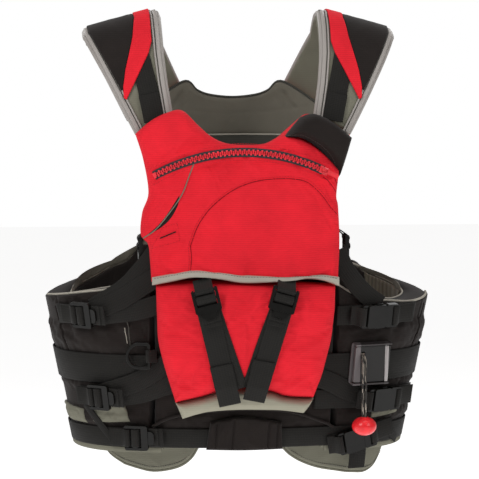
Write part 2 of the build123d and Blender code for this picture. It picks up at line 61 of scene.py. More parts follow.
# The torso shape that the frame's covers follow, in millimetres.
HALF_WIDTH = 250
HALF_DEPTH = 140
FRONT_CENTRE = 400
WIDEST = 225
TAPER_DOWN = 0.20
TAPER_UP = 0.10
HEM = 40
FRONT_RADIUS = FRONT_CENTRE + HALF_DEPTH
SIDE_RADIUS = (2 * FRONT_CENTRE * HALF_DEPTH - HALF_WIDTH**2 + HALF_DEPTH**2) / (
    2 * (FRONT_CENTRE - HALF_WIDTH + HALF_DEPTH)
)
SIDE_CENTRE = HALF_WIDTH - SIDE_RADIUS
CORNER = math.atan2(SIDE_CENTRE, FRONT_CENTRE)
FRONT_RUN = FRONT_RADIUS * CORNER
SIDE_RUN = SIDE_RADIUS * (math.pi - 2 * CORNER)
HALF_RUN = 2 * FRONT_RUN + SIDE_RUN  # from the front's middle round to the back's

# The shoulder straps' arch, in the same units.
STRAP_SLOPE = math.radians(15)
ARCH_BASE = 450
ARCH_DEPTH = 104
ARCH_RISE = 154.5


# ---------------------------------------------------------------- charts
def swell(z):
    """How far the torso's outline moves out at a height."""
    return np.where(z < WIDEST, -TAPER_DOWN * (WIDEST - z), -TAPER_UP * (z - WIDEST))


def spot(s, z, off):
    """Points at runs s round the torso from its front middle, at heights z, off the cover."""
    s, z, off = (np.asarray(v, float) for v in np.broadcast_arrays(s, z, off))
    run = np.abs(s)
    out = off + swell(z)
    at_front = run <= FRONT_RUN
    at_back = run > FRONT_RUN + SIDE_RUN
    turn = np.where(
        at_front,
        run / FRONT_RADIUS,
        np.where(
            at_back,
            math.pi - (HALF_RUN - run) / FRONT_RADIUS,
            CORNER + (run - FRONT_RUN) / SIDE_RADIUS,
        ),
    )
    centre_x = np.where(at_front | at_back, 0, SIDE_CENTRE)
    centre_y = np.where(at_front, FRONT_CENTRE, np.where(at_back, -FRONT_CENTRE, 0))
    radius = np.where(at_front | at_back, FRONT_RADIUS, SIDE_RADIUS) + out
    x = np.where(s < 0, -1, 1) * (centre_x + radius * np.sin(turn))
    return np.stack([x, centre_y - radius * np.cos(turn), z], axis=-1)


def unroll(points, off=0.0):
    """The (run, height) of front view points (x, z), on the torso's front half."""
    out = []
    for x, z in points:
        grown = off + float(swell(z))
        if abs(x) < (FRONT_RADIUS + grown) * math.sin(CORNER):
            run = FRONT_RADIUS * math.asin(abs(x) / (FRONT_RADIUS + grown))
        else:
            sine = min((abs(x) - SIDE_CENTRE) / (SIDE_RADIUS + grown), 1)
            run = FRONT_RUN + SIDE_RADIUS * (math.asin(sine) - CORNER)
        out.append((math.copysign(run, x), z))
    return out


def distances(line):
    """How far along a line each of its points is."""
    return np.concatenate([[0], np.cumsum(np.linalg.norm(np.diff(line, axis=0), axis=1))])


ARCH_TURNS = np.linspace(-0.3, math.pi + 0.3, 400)
ARCH_RUNS = distances(
    np.stack([-ARCH_DEPTH * np.cos(ARCH_TURNS), ARCH_RISE * np.sin(ARCH_TURNS)], axis=1)
)


def over(side):
    """The chart of one shoulder strap: a point across it, along it and off its outer face."""

    def place(across, along, off):
        across, along, off = (np.asarray(v, float) for v in np.broadcast_arrays(across, along, off))
        turn = np.interp(along, ARCH_RUNS, ARCH_TURNS)
        y = -(ARCH_DEPTH + off) * np.cos(turn)
        height = ARCH_BASE + (ARCH_RISE + off) * np.sin(turn)
        x = across * math.cos(STRAP_SLOPE) + height * math.sin(STRAP_SLOPE)
        z = -across * math.sin(STRAP_SLOPE) + height * math.cos(STRAP_SLOPE)
        return np.stack([side * x, y, z], axis=-1)

    return place


def strap_chart(points, back=False):
    """The (across, along) of front view points (x, z) of the right strap, on its front or back."""
    out = []
    for x, z in points:
        across = x * math.cos(STRAP_SLOPE) - z * math.sin(STRAP_SLOPE)
        height = x * math.sin(STRAP_SLOPE) + z * math.cos(STRAP_SLOPE)
        turn = math.asin(min(max((height - ARCH_BASE) / ARCH_RISE, -0.29), 1))
        turn = math.pi - turn if back else turn
        out.append((across, float(np.interp(turn, ARCH_TURNS, ARCH_RUNS))))
    return out


# ---------------------------------------------------------------- lines and noise
def smooth_line(points, count):
    """count points evenly spaced along a smooth line through points; a point given twice is a corner."""
    points = [np.array(p, float) for p in points]
    pieces, piece = [], [points[0]]
    for p in points[1:]:
        if np.allclose(p, piece[-1]):
            pieces.append(piece)
            piece = [p]
        else:
            piece.append(p)
    pieces.append(piece)
    dense = []
    for piece in pieces:
        if len(piece) == 1:
            dense.append(piece[0])
            continue
        ends = [2 * piece[0] - piece[1]] + piece + [2 * piece[-1] - piece[-2]]
        for a, b, c, d in zip(ends, ends[1:], ends[2:], ends[3:]):
            for t in np.linspace(0, 1, 24, endpoint=False):
                square = (2 * a - 5 * b + 4 * c - d) * t**2
                cube = (3 * b - a - 3 * c + d) * t**3
                dense.append(0.5 * (2 * b + (c - a) * t + square + cube))
        dense.append(piece[-1])
    dense = np.array(dense)
    along = distances(dense)
    at = np.linspace(0, along[-1], count)
    return np.stack([np.interp(at, along, dense[:, k]) for k in range(dense.shape[1])], axis=1)


def noise(a, b, seed):
    """Smooth random values between -1 and 1 over a plane, one hump about each unit."""
    table = np.random.default_rng(seed).uniform(-1, 1, (64, 64))
    a0, b0 = np.floor(a).astype(int), np.floor(b).astype(int)
    fa, fb = a - a0, b - b0
    fa, fb = fa * fa * (3 - 2 * fa), fb * fb * (3 - 2 * fb)
    at = lambda i, j: table[(a0 + i) % 64, (b0 + j) % 64]
    low = at(0, 0) * (1 - fa) + at(1, 0) * fa
    high = at(0, 1) * (1 - fa) + at(1, 1) * fa
    return low * (1 - fb) + high * fb


def folds(a, b, size, stretch, angle, seed):
    """Fabric folds: sharp ridges of a size in millimetres, stretched along a direction."""
    turn = math.radians(angle)
    p = (a * math.cos(turn) + b * math.sin(turn)) / (size * stretch)
    q = (-a * math.sin(turn) + b * math.cos(turn)) / size
    warp = noise(p * 0.7, q * 0.7, seed + 1)
    value = noise(p + 0.5 * warp, q + 0.5 * warp, seed)
    return 1 - 2 * np.abs(value) ** 0.8


def near_line(s, z, points, width):
    """1 on a line through chart points, falling to 0 over a width."""
    line = smooth_line(points, 80)
    d = np.sqrt(((s[..., None] - line[:, 0]) ** 2 + (z[..., None] - line[:, 1]) ** 2).min(-1))
    return np.exp(-((d / width) ** 2))


def along_lines(lines, width):
    """A test of whether chart points lie within a width of any of some lines."""
    dense = np.concatenate([smooth_line(line, 80) for line in lines])

    def held(s, z):
        gaps = (s[..., None] - dense[:, 0]) ** 2 + (z[..., None] - dense[:, 1]) ** 2
        return gaps.min(-1) < width**2

    return held


def under_belts(s, z):
    """Whether chart points lie under a belt."""
    return sum(np.abs(z - height) < width / 2 for height, width in BELTS) > 0


def dent(s, z, points, width, depth, puff=0.0):
    """A sewn seam along chart points: a groove with the cloth swelling beside it."""
    return -depth * near_line(s, z, points, width) + puff * near_line(s, z, points, 5 * width)


# ---------------------------------------------------------------- mesh builders
def add_mesh(name, points, faces, material, smooth=True, uvs=None):
    """A new piece from points in millimetres."""
    mesh = bpy.data.meshes.new(name)
    mesh.from_pydata([tuple(float(c) * MM for c in p) for p in points], [], faces)
    mesh.validate()
    bm = bmesh.new()
    bm.from_mesh(mesh)
    bmesh.ops.recalc_face_normals(bm, faces=bm.faces)
    bm.to_mesh(mesh)
    bm.free()
    if uvs is not None:
        layer = mesh.uv_layers.new(name="UVMap")
        for loop in mesh.loops:
            layer.data[loop.index].uv = uvs[loop.vertex_index]
    for polygon in mesh.polygons:
        polygon.use_smooth = smooth
    mesh.materials.append(material)
    obj = bpy.data.objects.new(name, mesh)
    bpy.context.scene.collection.objects.link(obj)
    return obj


def piece(obj, slot, body=BODY, stands_for=(), padded=None):
    """Attaches a piece to its body and hides the CAD nodes that it stands for. Its material slot is not used."""
    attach(obj, body)
    if stands_for:
        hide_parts(*stands_for)
    return obj


def eased(count):
    """Steps from 0 to 1, closer together at both ends."""
    t = np.linspace(0, 1, count)
    return 0.45 * t + 0.55 * (0.5 - 0.5 * np.cos(math.pi * t))


def between(bottom, right, top, left, counts):
    """A grid that fills four chart lines: bottom and top run left to right, the sides run upwards."""
    across, up = counts
    u, v = eased(across), eased(up)
    sample = lambda line, t: np.stack(
        [np.interp(t, np.linspace(0, 1, 400), smooth_line(line, 400)[:, k]) for k in range(2)], axis=1
    )
    b, t, l, r = sample(bottom, u), sample(top, u), sample(left, v), sample(right, v)
    u, v = u[:, None, None], v[None, :, None]
    grid = (1 - v) * b[:, None] + v * t[:, None] + (1 - u) * l[None] + u * r[None]
    grid -= (1 - u) * (1 - v) * b[0] + u * (1 - v) * b[-1] + (1 - u) * v * t[0] + u * v * t[-1]
    return grid


def from_edge(grid):
    """How far each point of a grid is from the grid's outline."""
    rim = np.concatenate([grid[0], grid[-1], grid[:, 0], grid[:, -1]])
    flat = grid.reshape(-1, 2)
    d = np.array([np.sqrt(((rim - p) ** 2).sum(1).min()) for p in flat])
    return d.reshape(grid.shape[:2])


def lifted_foot(grid, steepness):
    """Distances from the outline, but with the bottom edge standing up more steeply."""
    sides = np.concatenate([grid[0], grid[-1], grid[:, -1]])
    flat = grid.reshape(-1, 2)
    away = np.array([np.sqrt(((sides - p) ** 2).sum(1).min()) for p in flat]).reshape(grid.shape[:2])
    foot = np.array([np.sqrt(((grid[:, 0] - p) ** 2).sum(1).min()) for p in flat]).reshape(grid.shape[:2])
    return np.minimum(away, foot * steepness)


def rounded(d, radius):
    """The height of a rounded edge, 0 at the outline and 1 past its radius."""
    t = np.clip(d / radius, 0, 1)
    return np.sqrt(1 - (1 - t) ** 2)


CLOTH_FRAMES = 20
CLOTH_GRID = (54, 44)
CLOTH_BED = 6.0  # how far the cloth's pinned floor lies under the panel's
PRESSURE = 4


def billow(grid, top, low, held, place=spot, slack=0.03, cap=5.0):
    """How far cloth over a grid swells and wrinkles off its first shape, by cloth simulation.

    The cloth is a coarse closed copy of the panel, with its floor, its outline and every held
    point pinned. It is a little larger than its frame, so it wrinkles as pressure fills it.
    """
    across, up = grid.shape[:2]
    rows = np.linspace(0, across - 1, CLOTH_GRID[0]).round().astype(int)
    columns = np.linspace(0, up - 1, CLOTH_GRID[1]).round().astype(int)
    pick = np.ix_(rows, columns)
    s, z, high = grid[..., 0][pick], grid[..., 1][pick], top[pick]
    base, skin = place(s, z, np.full_like(high, low - CLOTH_BED)), place(s, z, high)
    count = len(rows) * len(columns)
    index = np.arange(count).reshape(len(rows), len(columns))
    faces = []
    for i in range(len(rows) - 1):
        for j in range(len(columns) - 1):
            corners = ((i, j), (i + 1, j), (i + 1, j + 1), (i, j + 1))
            quad = [int(index[corner]) for corner in corners]
            faces.append(quad)
            faces.append([count + n for n in quad[::-1]])
    ring = list(index[:, 0]) + list(index[-1, 1:]) + list(index[-2::-1, -1]) + list(index[0, -2:0:-1])
    for a, b in zip(ring, ring[1:] + ring[:1]):
        faces.append([int(b), int(a), count + int(a), count + int(b)])
    mesh = bpy.data.meshes.new("cloth")
    mesh.from_pydata(np.concatenate([skin.reshape(-1, 3), base.reshape(-1, 3)]) * MM, [], faces)
    cloth_piece = bpy.data.objects.new("cloth", mesh)
    bpy.context.scene.collection.objects.link(cloth_piece)
    pins = cloth_piece.vertex_groups.new(name="pins")
    free = np.ones(high.shape, bool)
    free[0] = free[-1] = False
    free[:, 0] = free[:, -1] = False
    free &= ~held(s, z)
    pins.add([int(n) for n in index[~free]] + list(range(count, 2 * count)), 1.0, "REPLACE")
    modifier = cloth_piece.modifiers.new("cloth", "CLOTH")
    settings = modifier.settings
    settings.quality = 5
    settings.mass = 0.3
    settings.tension_stiffness = settings.compression_stiffness = 15
    settings.bending_stiffness = 0.4
    settings.use_pressure = True
    settings.uniform_pressure_force = PRESSURE
    settings.vertex_group_mass = "pins"
    settings.shrink_min = -slack
    settings.effector_weights.gravity = 0
    modifier.collision_settings.use_collision = False
    modifier.point_cache.frame_end = CLOTH_FRAMES
    for frame_number in range(1, CLOTH_FRAMES + 1):
        bpy.context.scene.frame_set(frame_number)
    settled = cloth_piece.evaluated_get(bpy.context.evaluated_depsgraph_get()).to_mesh()
    after = np.array([v.co[:] for v in settled.vertices])[:count].reshape(skin.shape) / MM
    bpy.data.objects.remove(cloth_piece)
    bpy.context.scene.frame_set(1)
    out = place(s, z, high + 1.0) - skin
    moved = cap * np.tanh(((after - skin) * out).sum(-1) / cap)
    along = np.array([np.interp(np.arange(up), columns, line) for line in moved])
    return np.array([np.interp(np.arange(across), rows, line) for line in along.T]).T


def pillow(
    name, grid, low, high, edge, material, shape=None, place=spot,
    under=None, steep=None, held=None, slack=0.03, cap=5.0,
):
    """A closed soft panel over a grid: flat at low, rising round its edge to high, with shape added.

    A panel that is given its held points also swells by cloth simulation.
    """
    across, up = grid.shape[:2]
    s, z = grid[..., 0], grid[..., 1]
    d = from_edge(grid) if steep is None else lifted_foot(grid, steep)
    rise = rounded(d, edge)
    top = low + (high - low) * rise
    if shape is not None:
        top = top + shape(s, z, d) * np.clip(d / edge, 0, 1)
    if held is not None:
        top = top + billow(grid, top, low, held, place, slack=slack, cap=cap) * np.clip(d / 4, 0, 1)
    floor = np.full_like(top, low) if under is None else low - under * rise
    points = list(place(s, z, top).reshape(-1, 3))
    index = np.arange(across * up).reshape(across, up)
    below = index.copy()
    floor_points = place(s, z, floor)
    for i in range(1, across - 1):
        for j in range(1, up - 1):
            below[i, j] = len(points)
            points.append(floor_points[i, j])
    faces = []
    for i in range(across - 1):
        for j in range(up - 1):
            faces.append((index[i, j], index[i + 1, j], index[i + 1, j + 1], index[i, j + 1]))
            faces.append((below[i, j], below[i, j + 1], below[i + 1, j + 1], below[i + 1, j]))
    faces = [tuple(int(n) for n in f) for f in faces]
    return add_mesh(name, points, faces, material)


TAPE_CORNER = 0.7
WEBBING_THICK = 1.5


def sweep_faces(rings, sides, closed=False):
    """The faces of a tube of rings, with its two ends filled unless it is closed."""
    faces = []
    for i in range(rings if closed else rings - 1):
        j = (i + 1) % rings
        for k in range(sides):
            m = (k + 1) % sides
            faces.append((i * sides + k, j * sides + k, j * sides + m, i * sides + m))
    if not closed:
        faces.append(tuple(range(sides)))
        faces.append(tuple(range((rings - 1) * sides, rings * sides)))
    return faces


def tape_profile(width, corner):
    """A webbing's section: points across it, and how far up its thickness each one is."""
    half = width / 2
    upper = [(-half, 0.3), (-half, 0.7), (-half + corner, 1), (0, 1), (half - corner, 1)]
    return upper + [(-across, 1 - up) for across, up in upper]


def ribbon(name, line, width, thick, material, place=spot, closed=False):
    """Webbing along chart points (s, z, off): flat, with slightly rounded edges."""
    line = np.array(line, float)
    count = len(line)
    if closed:
        ahead, behind = np.roll(line, -1, axis=0), np.roll(line, 1, axis=0)
        run = ahead[:, :2] - behind[:, :2]
        run[0], run[-1] = run[1], run[-2]
    else:
        run = np.gradient(line[:, :2], axis=0)
    run /= np.linalg.norm(run, axis=1)[:, None]
    side = np.stack([-run[:, 1], run[:, 0]], axis=1)
    profile = tape_profile(width, TAPE_CORNER)
    along = distances(line[:, :2])
    points, uvs = [], []
    for across, up in profile:
        edge = line[:, :2] + side * across
        points.append(place(edge[:, 0], edge[:, 1], line[:, 2] + up * thick))
        uvs.append([(a * MM, across * MM) for a in along])
    points = np.stack(points, axis=1).reshape(-1, 3)
    uvs = [column[i] for i in range(count) for column in uvs]
    faces = sweep_faces(count, len(profile), closed)
    return add_mesh(name, points, faces, material, uvs=uvs)


def tube(name, line, radius, material, sides=8, flat=1.0):
    """A bead along 3-D points in millimetres."""
    line = np.array(line, float)
    ahead = np.roll(line, -1, axis=0) - np.roll(line, 1, axis=0)
    ahead[0], ahead[-1] = line[1] - line[0], line[-1] - line[-2]
    ahead /= np.linalg.norm(ahead, axis=1)[:, None]
    up = np.cross(ahead[0], [0.31, 0.2, 0.9])
    points = []
    for p, t in zip(line, ahead):
        up = up - t * up.dot(t)
        up /= np.linalg.norm(up)
        over_there = np.cross(t, up)
        for k in range(sides):
            a = 2 * math.pi * k / sides
            points.append(p + radius * (math.cos(a) * up + flat * math.sin(a) * over_there))
    return add_mesh(name, points, sweep_faces(len(line), sides), material)


def chart_line(points, off, count=60, place=spot):
    """3-D points on a smooth line through chart points, at an offset."""
    line = smooth_line(points, count)
    return place(line[:, 0], line[:, 1], off)


def lift(points, off, count=40):
    """The chart points of a smooth line with an offset, for a ribbon."""
    line = smooth_line(points, count)
    return np.column_stack([line, np.broadcast_to(off, (count,))])


def join(name, objects):
    """Several meshes made into one piece."""
    bpy.ops.object.select_all(action="DESELECT")
    for obj in objects:
        obj.select_set(True)
    bpy.context.view_layer.objects.active = objects[0]
    bpy.ops.object.join()
    objects[0].name = name
    return objects[0]


# ---------------------------------------------------------------- materials
def node_material(name, color, roughness=0.8, metallic=0.0, sheen=0.0, coat=0.0, specular=0.5):
    material = bpy.data.materials.new(name)
    material.use_nodes = True
    tree = material.node_tree
    shader = tree.nodes["Principled BSDF"]
    shader.inputs["Base Color"].default_value = (*color, 1)
    shader.inputs["Roughness"].default_value = roughness
    shader.inputs["Metallic"].default_value = metallic
    shader.inputs["Sheen Weight"].default_value = sheen
    shader.inputs["Sheen Roughness"].default_value = 0.5
    shader.inputs["Coat Weight"].default_value = coat
    shader.inputs["Specular IOR Level"].default_value = specular
    return material, tree, shader


def mapped(tree, scale, uv=False, rotation=(0, 0, 0)):
    coordinates = tree.nodes.new("ShaderNodeTexCoord")
    mapping = tree.nodes.new("ShaderNodeMapping")
    mapping.inputs["Scale"].default_value = scale
    mapping.inputs["Rotation"].default_value = rotation
    tree.links.new(coordinates.outputs["UV" if uv else "Object"], mapping.inputs["Vector"])
    return mapping.outputs["Vector"]


def noise_node(tree, vector, scale, detail=4, roughness=0.55):
    node = tree.nodes.new("ShaderNodeTexNoise")
    node.inputs["Scale"].default_value = scale
    node.inputs["Detail"].default_value = detail
    node.inputs["Roughness"].default_value = roughness
    tree.links.new(vector, node.inputs["Vector"])
    return node.outputs["Fac"]


def wave_node(tree, vector, scale, direction="Z", distortion=0.0):
    node = tree.nodes.new("ShaderNodeTexWave")
    node.wave_type = "BANDS"
    node.bands_direction = direction
    node.wave_profile = "SIN"
    node.inputs["Scale"].default_value = scale
    node.inputs["Distortion"].default_value = distortion
    node.inputs["Detail"].default_value = 1.5
    node.inputs["Detail Scale"].default_value = 1.2
    tree.links.new(vector, node.inputs["Vector"])
    return node.outputs["Fac"]


def math_node(tree, operation, a, b):
    node = tree.nodes.new("ShaderNodeMath")
    node.operation = operation
    for socket, value in zip(node.inputs, (a, b)):
        if isinstance(value, (int, float)):
            socket.default_value = value
        else:
            tree.links.new(value, socket)
    return node.outputs[0]


def weighed(tree, a, weight_a, b, weight_b):
    """The sum of two patterns, each with its weight."""
    parts = [math_node(tree, "MULTIPLY", a, weight_a), math_node(tree, "MULTIPLY", b, weight_b)]
    return math_node(tree, "ADD", *parts)


def bands(pitch):
    """The wave texture's scale for bands that repeat at a pitch in metres."""
    return 1 / pitch / 20 * 6.283


def shade(tree, shader, factor, dark, light, low=0.0, high=1.0):
    """Colours the surface between two colours by a factor."""
    ramp = tree.nodes.new("ShaderNodeValToRGB")
    ramp.color_ramp.elements[0].position = low
    ramp.color_ramp.elements[0].color = (*dark, 1)
    ramp.color_ramp.elements[1].position = high
    ramp.color_ramp.elements[1].color = (*light, 1)
    tree.links.new(factor, ramp.inputs["Fac"])
    tree.links.new(ramp.outputs["Color"], shader.inputs["Base Color"])


def bump(tree, shader, height, strength, distance):
    node = tree.nodes.new("ShaderNodeBump")
    node.inputs["Strength"].default_value = strength
    node.inputs["Distance"].default_value = distance
    tree.links.new(height, node.inputs["Height"])
    tree.links.new(node.outputs["Normal"], shader.inputs["Normal"])


def tinted(color, factor):
    return tuple(c * factor for c in color)


def cloth(name, color, rib=0.0026, rib_strength=0.5, sheen=0.0, roughness=0.85, vary=0.14):
    """Coated nylon: fine crosswise ribs, a plain weave between them and uneven dyeing."""
    material, tree, shader = node_material(name, color, roughness, sheen=sheen, specular=0.16)
    where = mapped(tree, (1, 1, 1))
    ribs = wave_node(tree, where, bands(rib), "Z", 0.6)
    threads = noise_node(tree, mapped(tree, (900, 900, 2600)), 1.0, 2)
    patches = noise_node(tree, where, 26, 5)
    mix = weighed(tree, ribs, rib_strength, threads, 0.5)
    tone = weighed(tree, mix, 0.35, patches, 0.65)
    shade(tree, shader, tone, tinted(color, 1 - vary), tinted(color, 1 + vary), 0.3, 0.75)
    bump(tree, shader, mix, 0.35, 0.0006)
    return material


def webbing(name, color):
    """Woven nylon tape: ribs across its run and cords along it."""
    material, tree, shader = node_material(name, color, 0.8, sheen=0.03, specular=0.22)
    where = mapped(tree, (1, 1, 1), uv=True)
    ribs = wave_node(tree, where, bands(0.0022), "X", 0.2)
    cords = wave_node(tree, where, bands(0.0031), "Y", 0.2)
    mix = weighed(tree, ribs, 0.45, cords, 0.35)
    patches = noise_node(tree, mapped(tree, (1, 1, 1)), 60, 4)
    tone = math_node(tree, "ADD", mix, math_node(tree, "MULTIPLY", patches, 0.5))
    shade(tree, shader, tone, tinted(color, 0.75), tinted(color, 1.45), 0.3, 1.0)
    bump(tree, shader, mix, 0.5, 0.0005)
    return material


def moulded(name, color, roughness=0.45, grain=900, strength=0.12, specular=0.4, coat=0.0):
    """Moulded plastic with a fine spark-eroded grain."""
    material, tree, shader = node_material(name, color, roughness, specular=specular, coat=coat)
    where = mapped(tree, (1, 1, 1))
    fine = noise_node(tree, where, grain, 2)
    wear = noise_node(tree, where, 90, 4)
    shade(tree, shader, wear, tinted(color, 0.85), tinted(color, 1.25), 0.35, 0.7)
    bump(tree, shader, fine, strength, 0.0003)
    return material


def brushed(name, color):
    """Satin steel, brushed along its height."""
    material, tree, shader = node_material(name, color, 0.35, metallic=1.0)
    streaks = noise_node(tree, mapped(tree, (2200, 2200, 60)), 1.0, 3)
    shade(tree, shader, streaks, tinted(color, 0.8), tinted(color, 1.2), 0.3, 0.7)
    bump(tree, shader, streaks, 0.15, 0.0002)
    return material


def piping_tape(name, color):
    """Reflective tape: smooth, pale, with a faint diagonal weave."""
    material, tree, shader = node_material(name, color, 0.5, specular=0.5)
    weave = wave_node(tree, mapped(tree, (1, 1, 1), rotation=(0, 0.6, 0)), bands(0.0018), "Z", 0.1)
    shade(tree, shader, weave, tinted(color, 0.88), tinted(color, 1.1))
    bump(tree, shader, weave, 0.2, 0.0003)
    return material


def ribbed_lining(name, color):
    """Ribbed stretch lining: upright ribs."""
    material, tree, shader = node_material(name, color, 0.9, sheen=0.2, specular=0.2)
    where = mapped(tree, (1, 1, 1))
    ribs = wave_node(tree, where, bands(0.0042), "X", 0.1)
    patches = noise_node(tree, where, 40, 4)
    tone = weighed(tree, ribs, 0.4, patches, 0.6)
    shade(tree, shader, tone, tinted(color, 0.7), tinted(color, 1.2), 0.25, 0.8)
    bump(tree, shader, ribs, 0.5, 0.001)
    return material


def flecked_cord(name, color, fleck):
    """Braided cord with light tracer threads."""
    material, tree, shader = node_material(name, color, 0.75, specular=0.3)
    braid = tree.nodes.new("ShaderNodeTexVoronoi")
    braid.inputs["Scale"].default_value = 760
    tree.links.new(mapped(tree, (1, 1, 0.16)), braid.inputs["Vector"])
    shade(tree, shader, braid.outputs["Color"], color, fleck, 0.5, 0.85)
    bump(tree, shader, braid.outputs["Distance"], 0.5, 0.0006)
    return material


# The release across the vest, in metres.
RELEASE_LEFT, RELEASE_RIGHT = 0.130, 0.190
HINGE_BLOCK_END = 0.147
# Where the painted highlight, a bright band, runs along the release's right edge, in metres.
HIGHLIGHT_BAND = (0.1795, 0.1840)


def release_look(name, dark, block, lip):
    """A dark moulding with a light hinge block along its left and a bright band at its right, a painted
    highlight.
    """
    material, tree, shader = node_material(name, dark, 0.38, specular=0.25)
    coordinates = tree.nodes.new("ShaderNodeTexCoord")
    split = tree.nodes.new("ShaderNodeSeparateXYZ")
    tree.links.new(coordinates.outputs["Object"], split.inputs["Vector"])
    across = tree.nodes.new("ShaderNodeMapRange")
    across.inputs["From Min"].default_value = RELEASE_LEFT
    across.inputs["From Max"].default_value = RELEASE_RIGHT
    tree.links.new(split.outputs["X"], across.inputs["Value"])
    ramp = tree.nodes.new("ShaderNodeValToRGB")
    ramp.color_ramp.interpolation = "CONSTANT"
    ramp.color_ramp.elements[0].color = (*block, 1)
    ramp.color_ramp.elements[1].position = (HINGE_BLOCK_END - RELEASE_LEFT) / (RELEASE_RIGHT - RELEASE_LEFT)
    ramp.color_ramp.elements[1].color = (*dark, 1)
    # The painted highlight: a bright band between these two stops.
    for at, color in zip(HIGHLIGHT_BAND, (lip, dark)):
        stop = ramp.color_ramp.elements.new((at - RELEASE_LEFT) / (RELEASE_RIGHT - RELEASE_LEFT))
        stop.color = (*color, 1)
    tree.links.new(across.outputs["Result"], ramp.inputs["Fac"])
    tree.links.new(ramp.outputs["Color"], shader.inputs["Base Color"])
    bump(tree, shader, noise_node(tree, mapped(tree, (1, 1, 1)), 900, 2), 0.05, 0.0003)
    return material


RED = (0.68, 0.014, 0.026)
BLACK = (0.0135, 0.0098, 0.0085)
LINING = (0.145, 0.132, 0.105)
LOOKS = {
    "red_fabric": cloth("red_fabric", RED, vary=0.16),
    "black_fabric": cloth("black_fabric", BLACK, rib_strength=0.3, sheen=0.05, vary=0.25),
    "grey_lining": cloth("grey_lining", LINING, rib_strength=0.1, vary=0.12, sheen=0.1, roughness=0.7),
    "grey_trim": cloth("grey_trim", (0.165, 0.160, 0.122), rib_strength=0.3, vary=0.12),
    # A copy of grey_trim painted brighter: painted light on the pouch's foot.
    "grey_trim_painted_lit": cloth("grey_trim_painted_lit", (0.30, 0.285, 0.22), rib_strength=0.4, vary=0.1),
    "piping": piping_tape("piping", (0.30, 0.275, 0.255)),
    "binding": cloth("binding", (0.36, 0.335, 0.285), rib_strength=0.3, vary=0.12),
    "webbing": webbing("webbing", (0.0088, 0.0080, 0.0068)),
    "zipper_tape": cloth("zipper_tape", (0.032, 0.038, 0.042), rib=0.0016, vary=0.2),
    "zipper_plastic": moulded("zipper_plastic", (0.70, 0.022, 0.035), 0.35, specular=0.5),
    "zipper_paint": moulded("zipper_paint", (0.66, 0.02, 0.03), 0.3, strength=0.05, specular=0.5, coat=0.2),
    "buckle_plastic": moulded("buckle_plastic", (0.0055, 0.0052, 0.0045), 0.3, strength=0.05, specular=0.2),
    "dark_plastic": moulded("dark_plastic", (0.011, 0.0105, 0.0095), 0.34, strength=0.05, specular=0.22),
    # The lip colours are painted highlights along the release's right edge.
    "release_lever": release_look(
        "release_lever", (0.012, 0.011, 0.0105), block=(0.135, 0.120, 0.122), lip=(0.33, 0.31, 0.305)
    ),
    "release_frame": release_look(
        "release_frame", (0.035, 0.030, 0.030), block=(0.125, 0.112, 0.114), lip=(0.06, 0.055, 0.055)
    ),
    "steel": brushed("steel", (0.16, 0.145, 0.145)),
    "cord": flecked_cord("cord", (0.022, 0.02, 0.018), (0.34, 0.30, 0.25)),
    "ball": moulded("ball", (0.74, 0.018, 0.024), 0.3, grain=60, strength=0.02, specular=0.35, coat=0.1),
    "lining_rib": ribbed_lining("lining_rib", (0.15, 0.13, 0.095)),
    # Dark red: thread of the pouch trim's stitches, and painted shade in the chest pocket's seam grooves.
    "dark_red_thread_and_seam_shade": moulded("dark_red_thread_and_seam_shade", (0.22, 0.006, 0.012), 0.8, specular=0.1),
    "thread_red": moulded("thread_red", (0.48, 0.012, 0.022), 0.7, specular=0.2),
    "stitch_dark": moulded("stitch_dark", (0.05, 0.048, 0.043), 0.7),
    "shadow_edge": cloth("shadow_edge", (0.06, 0.058, 0.05), vary=0.2),
}


def look(name):
    return LOOKS[name]


def dress_frame():
    """Every CAD node gets its slot's material, and the release its own."""
    slots = {row["node"]: row["material_slot"] for row in frame["record"]["subparts"]}
    for node, obj in frame["nodes"].items():
        name = slots[node]
        if name == "foam":
            name = "grey_lining"
        if node in ("release_lever", "release_frame"):
            name = node
        obj.data.materials.clear()
        obj.data.materials.append(look(name))


# ---------------------------------------------------------------- camera, light and floor
AIM = Vector((0.003, 0, 0.300))
AZIMUTH = math.radians(-4.5)
ELEVATION = math.radians(5)
DISTANCE = 3.2
FLOOR_REACH = 9000
FLOOR_LEVEL = -420


def aimed(name, data, azimuth, elevation, distance):
    """An object that stands in a direction from the jacket, and looks at it."""
    obj = bpy.data.objects.new(name, data)
    level = math.cos(elevation)
    out = Vector((math.sin(azimuth) * level, -math.cos(azimuth) * level, math.sin(elevation)))
    obj.location = AIM + out * distance
    obj.rotation_euler = out.to_track_quat("Z", "Y").to_euler()
    bpy.context.scene.collection.objects.link(obj)
    return obj


def area_light(name, azimuth, elevation, distance, size, power):
    """A soft light, at angles in degrees, that faces the jacket."""
    light = bpy.data.lights.new(name, "AREA")
    light.shape = "RECTANGLE"
    light.size, light.size_y = size
    light.energy = power
    return aimed(name, light, math.radians(azimuth), math.radians(elevation), distance)


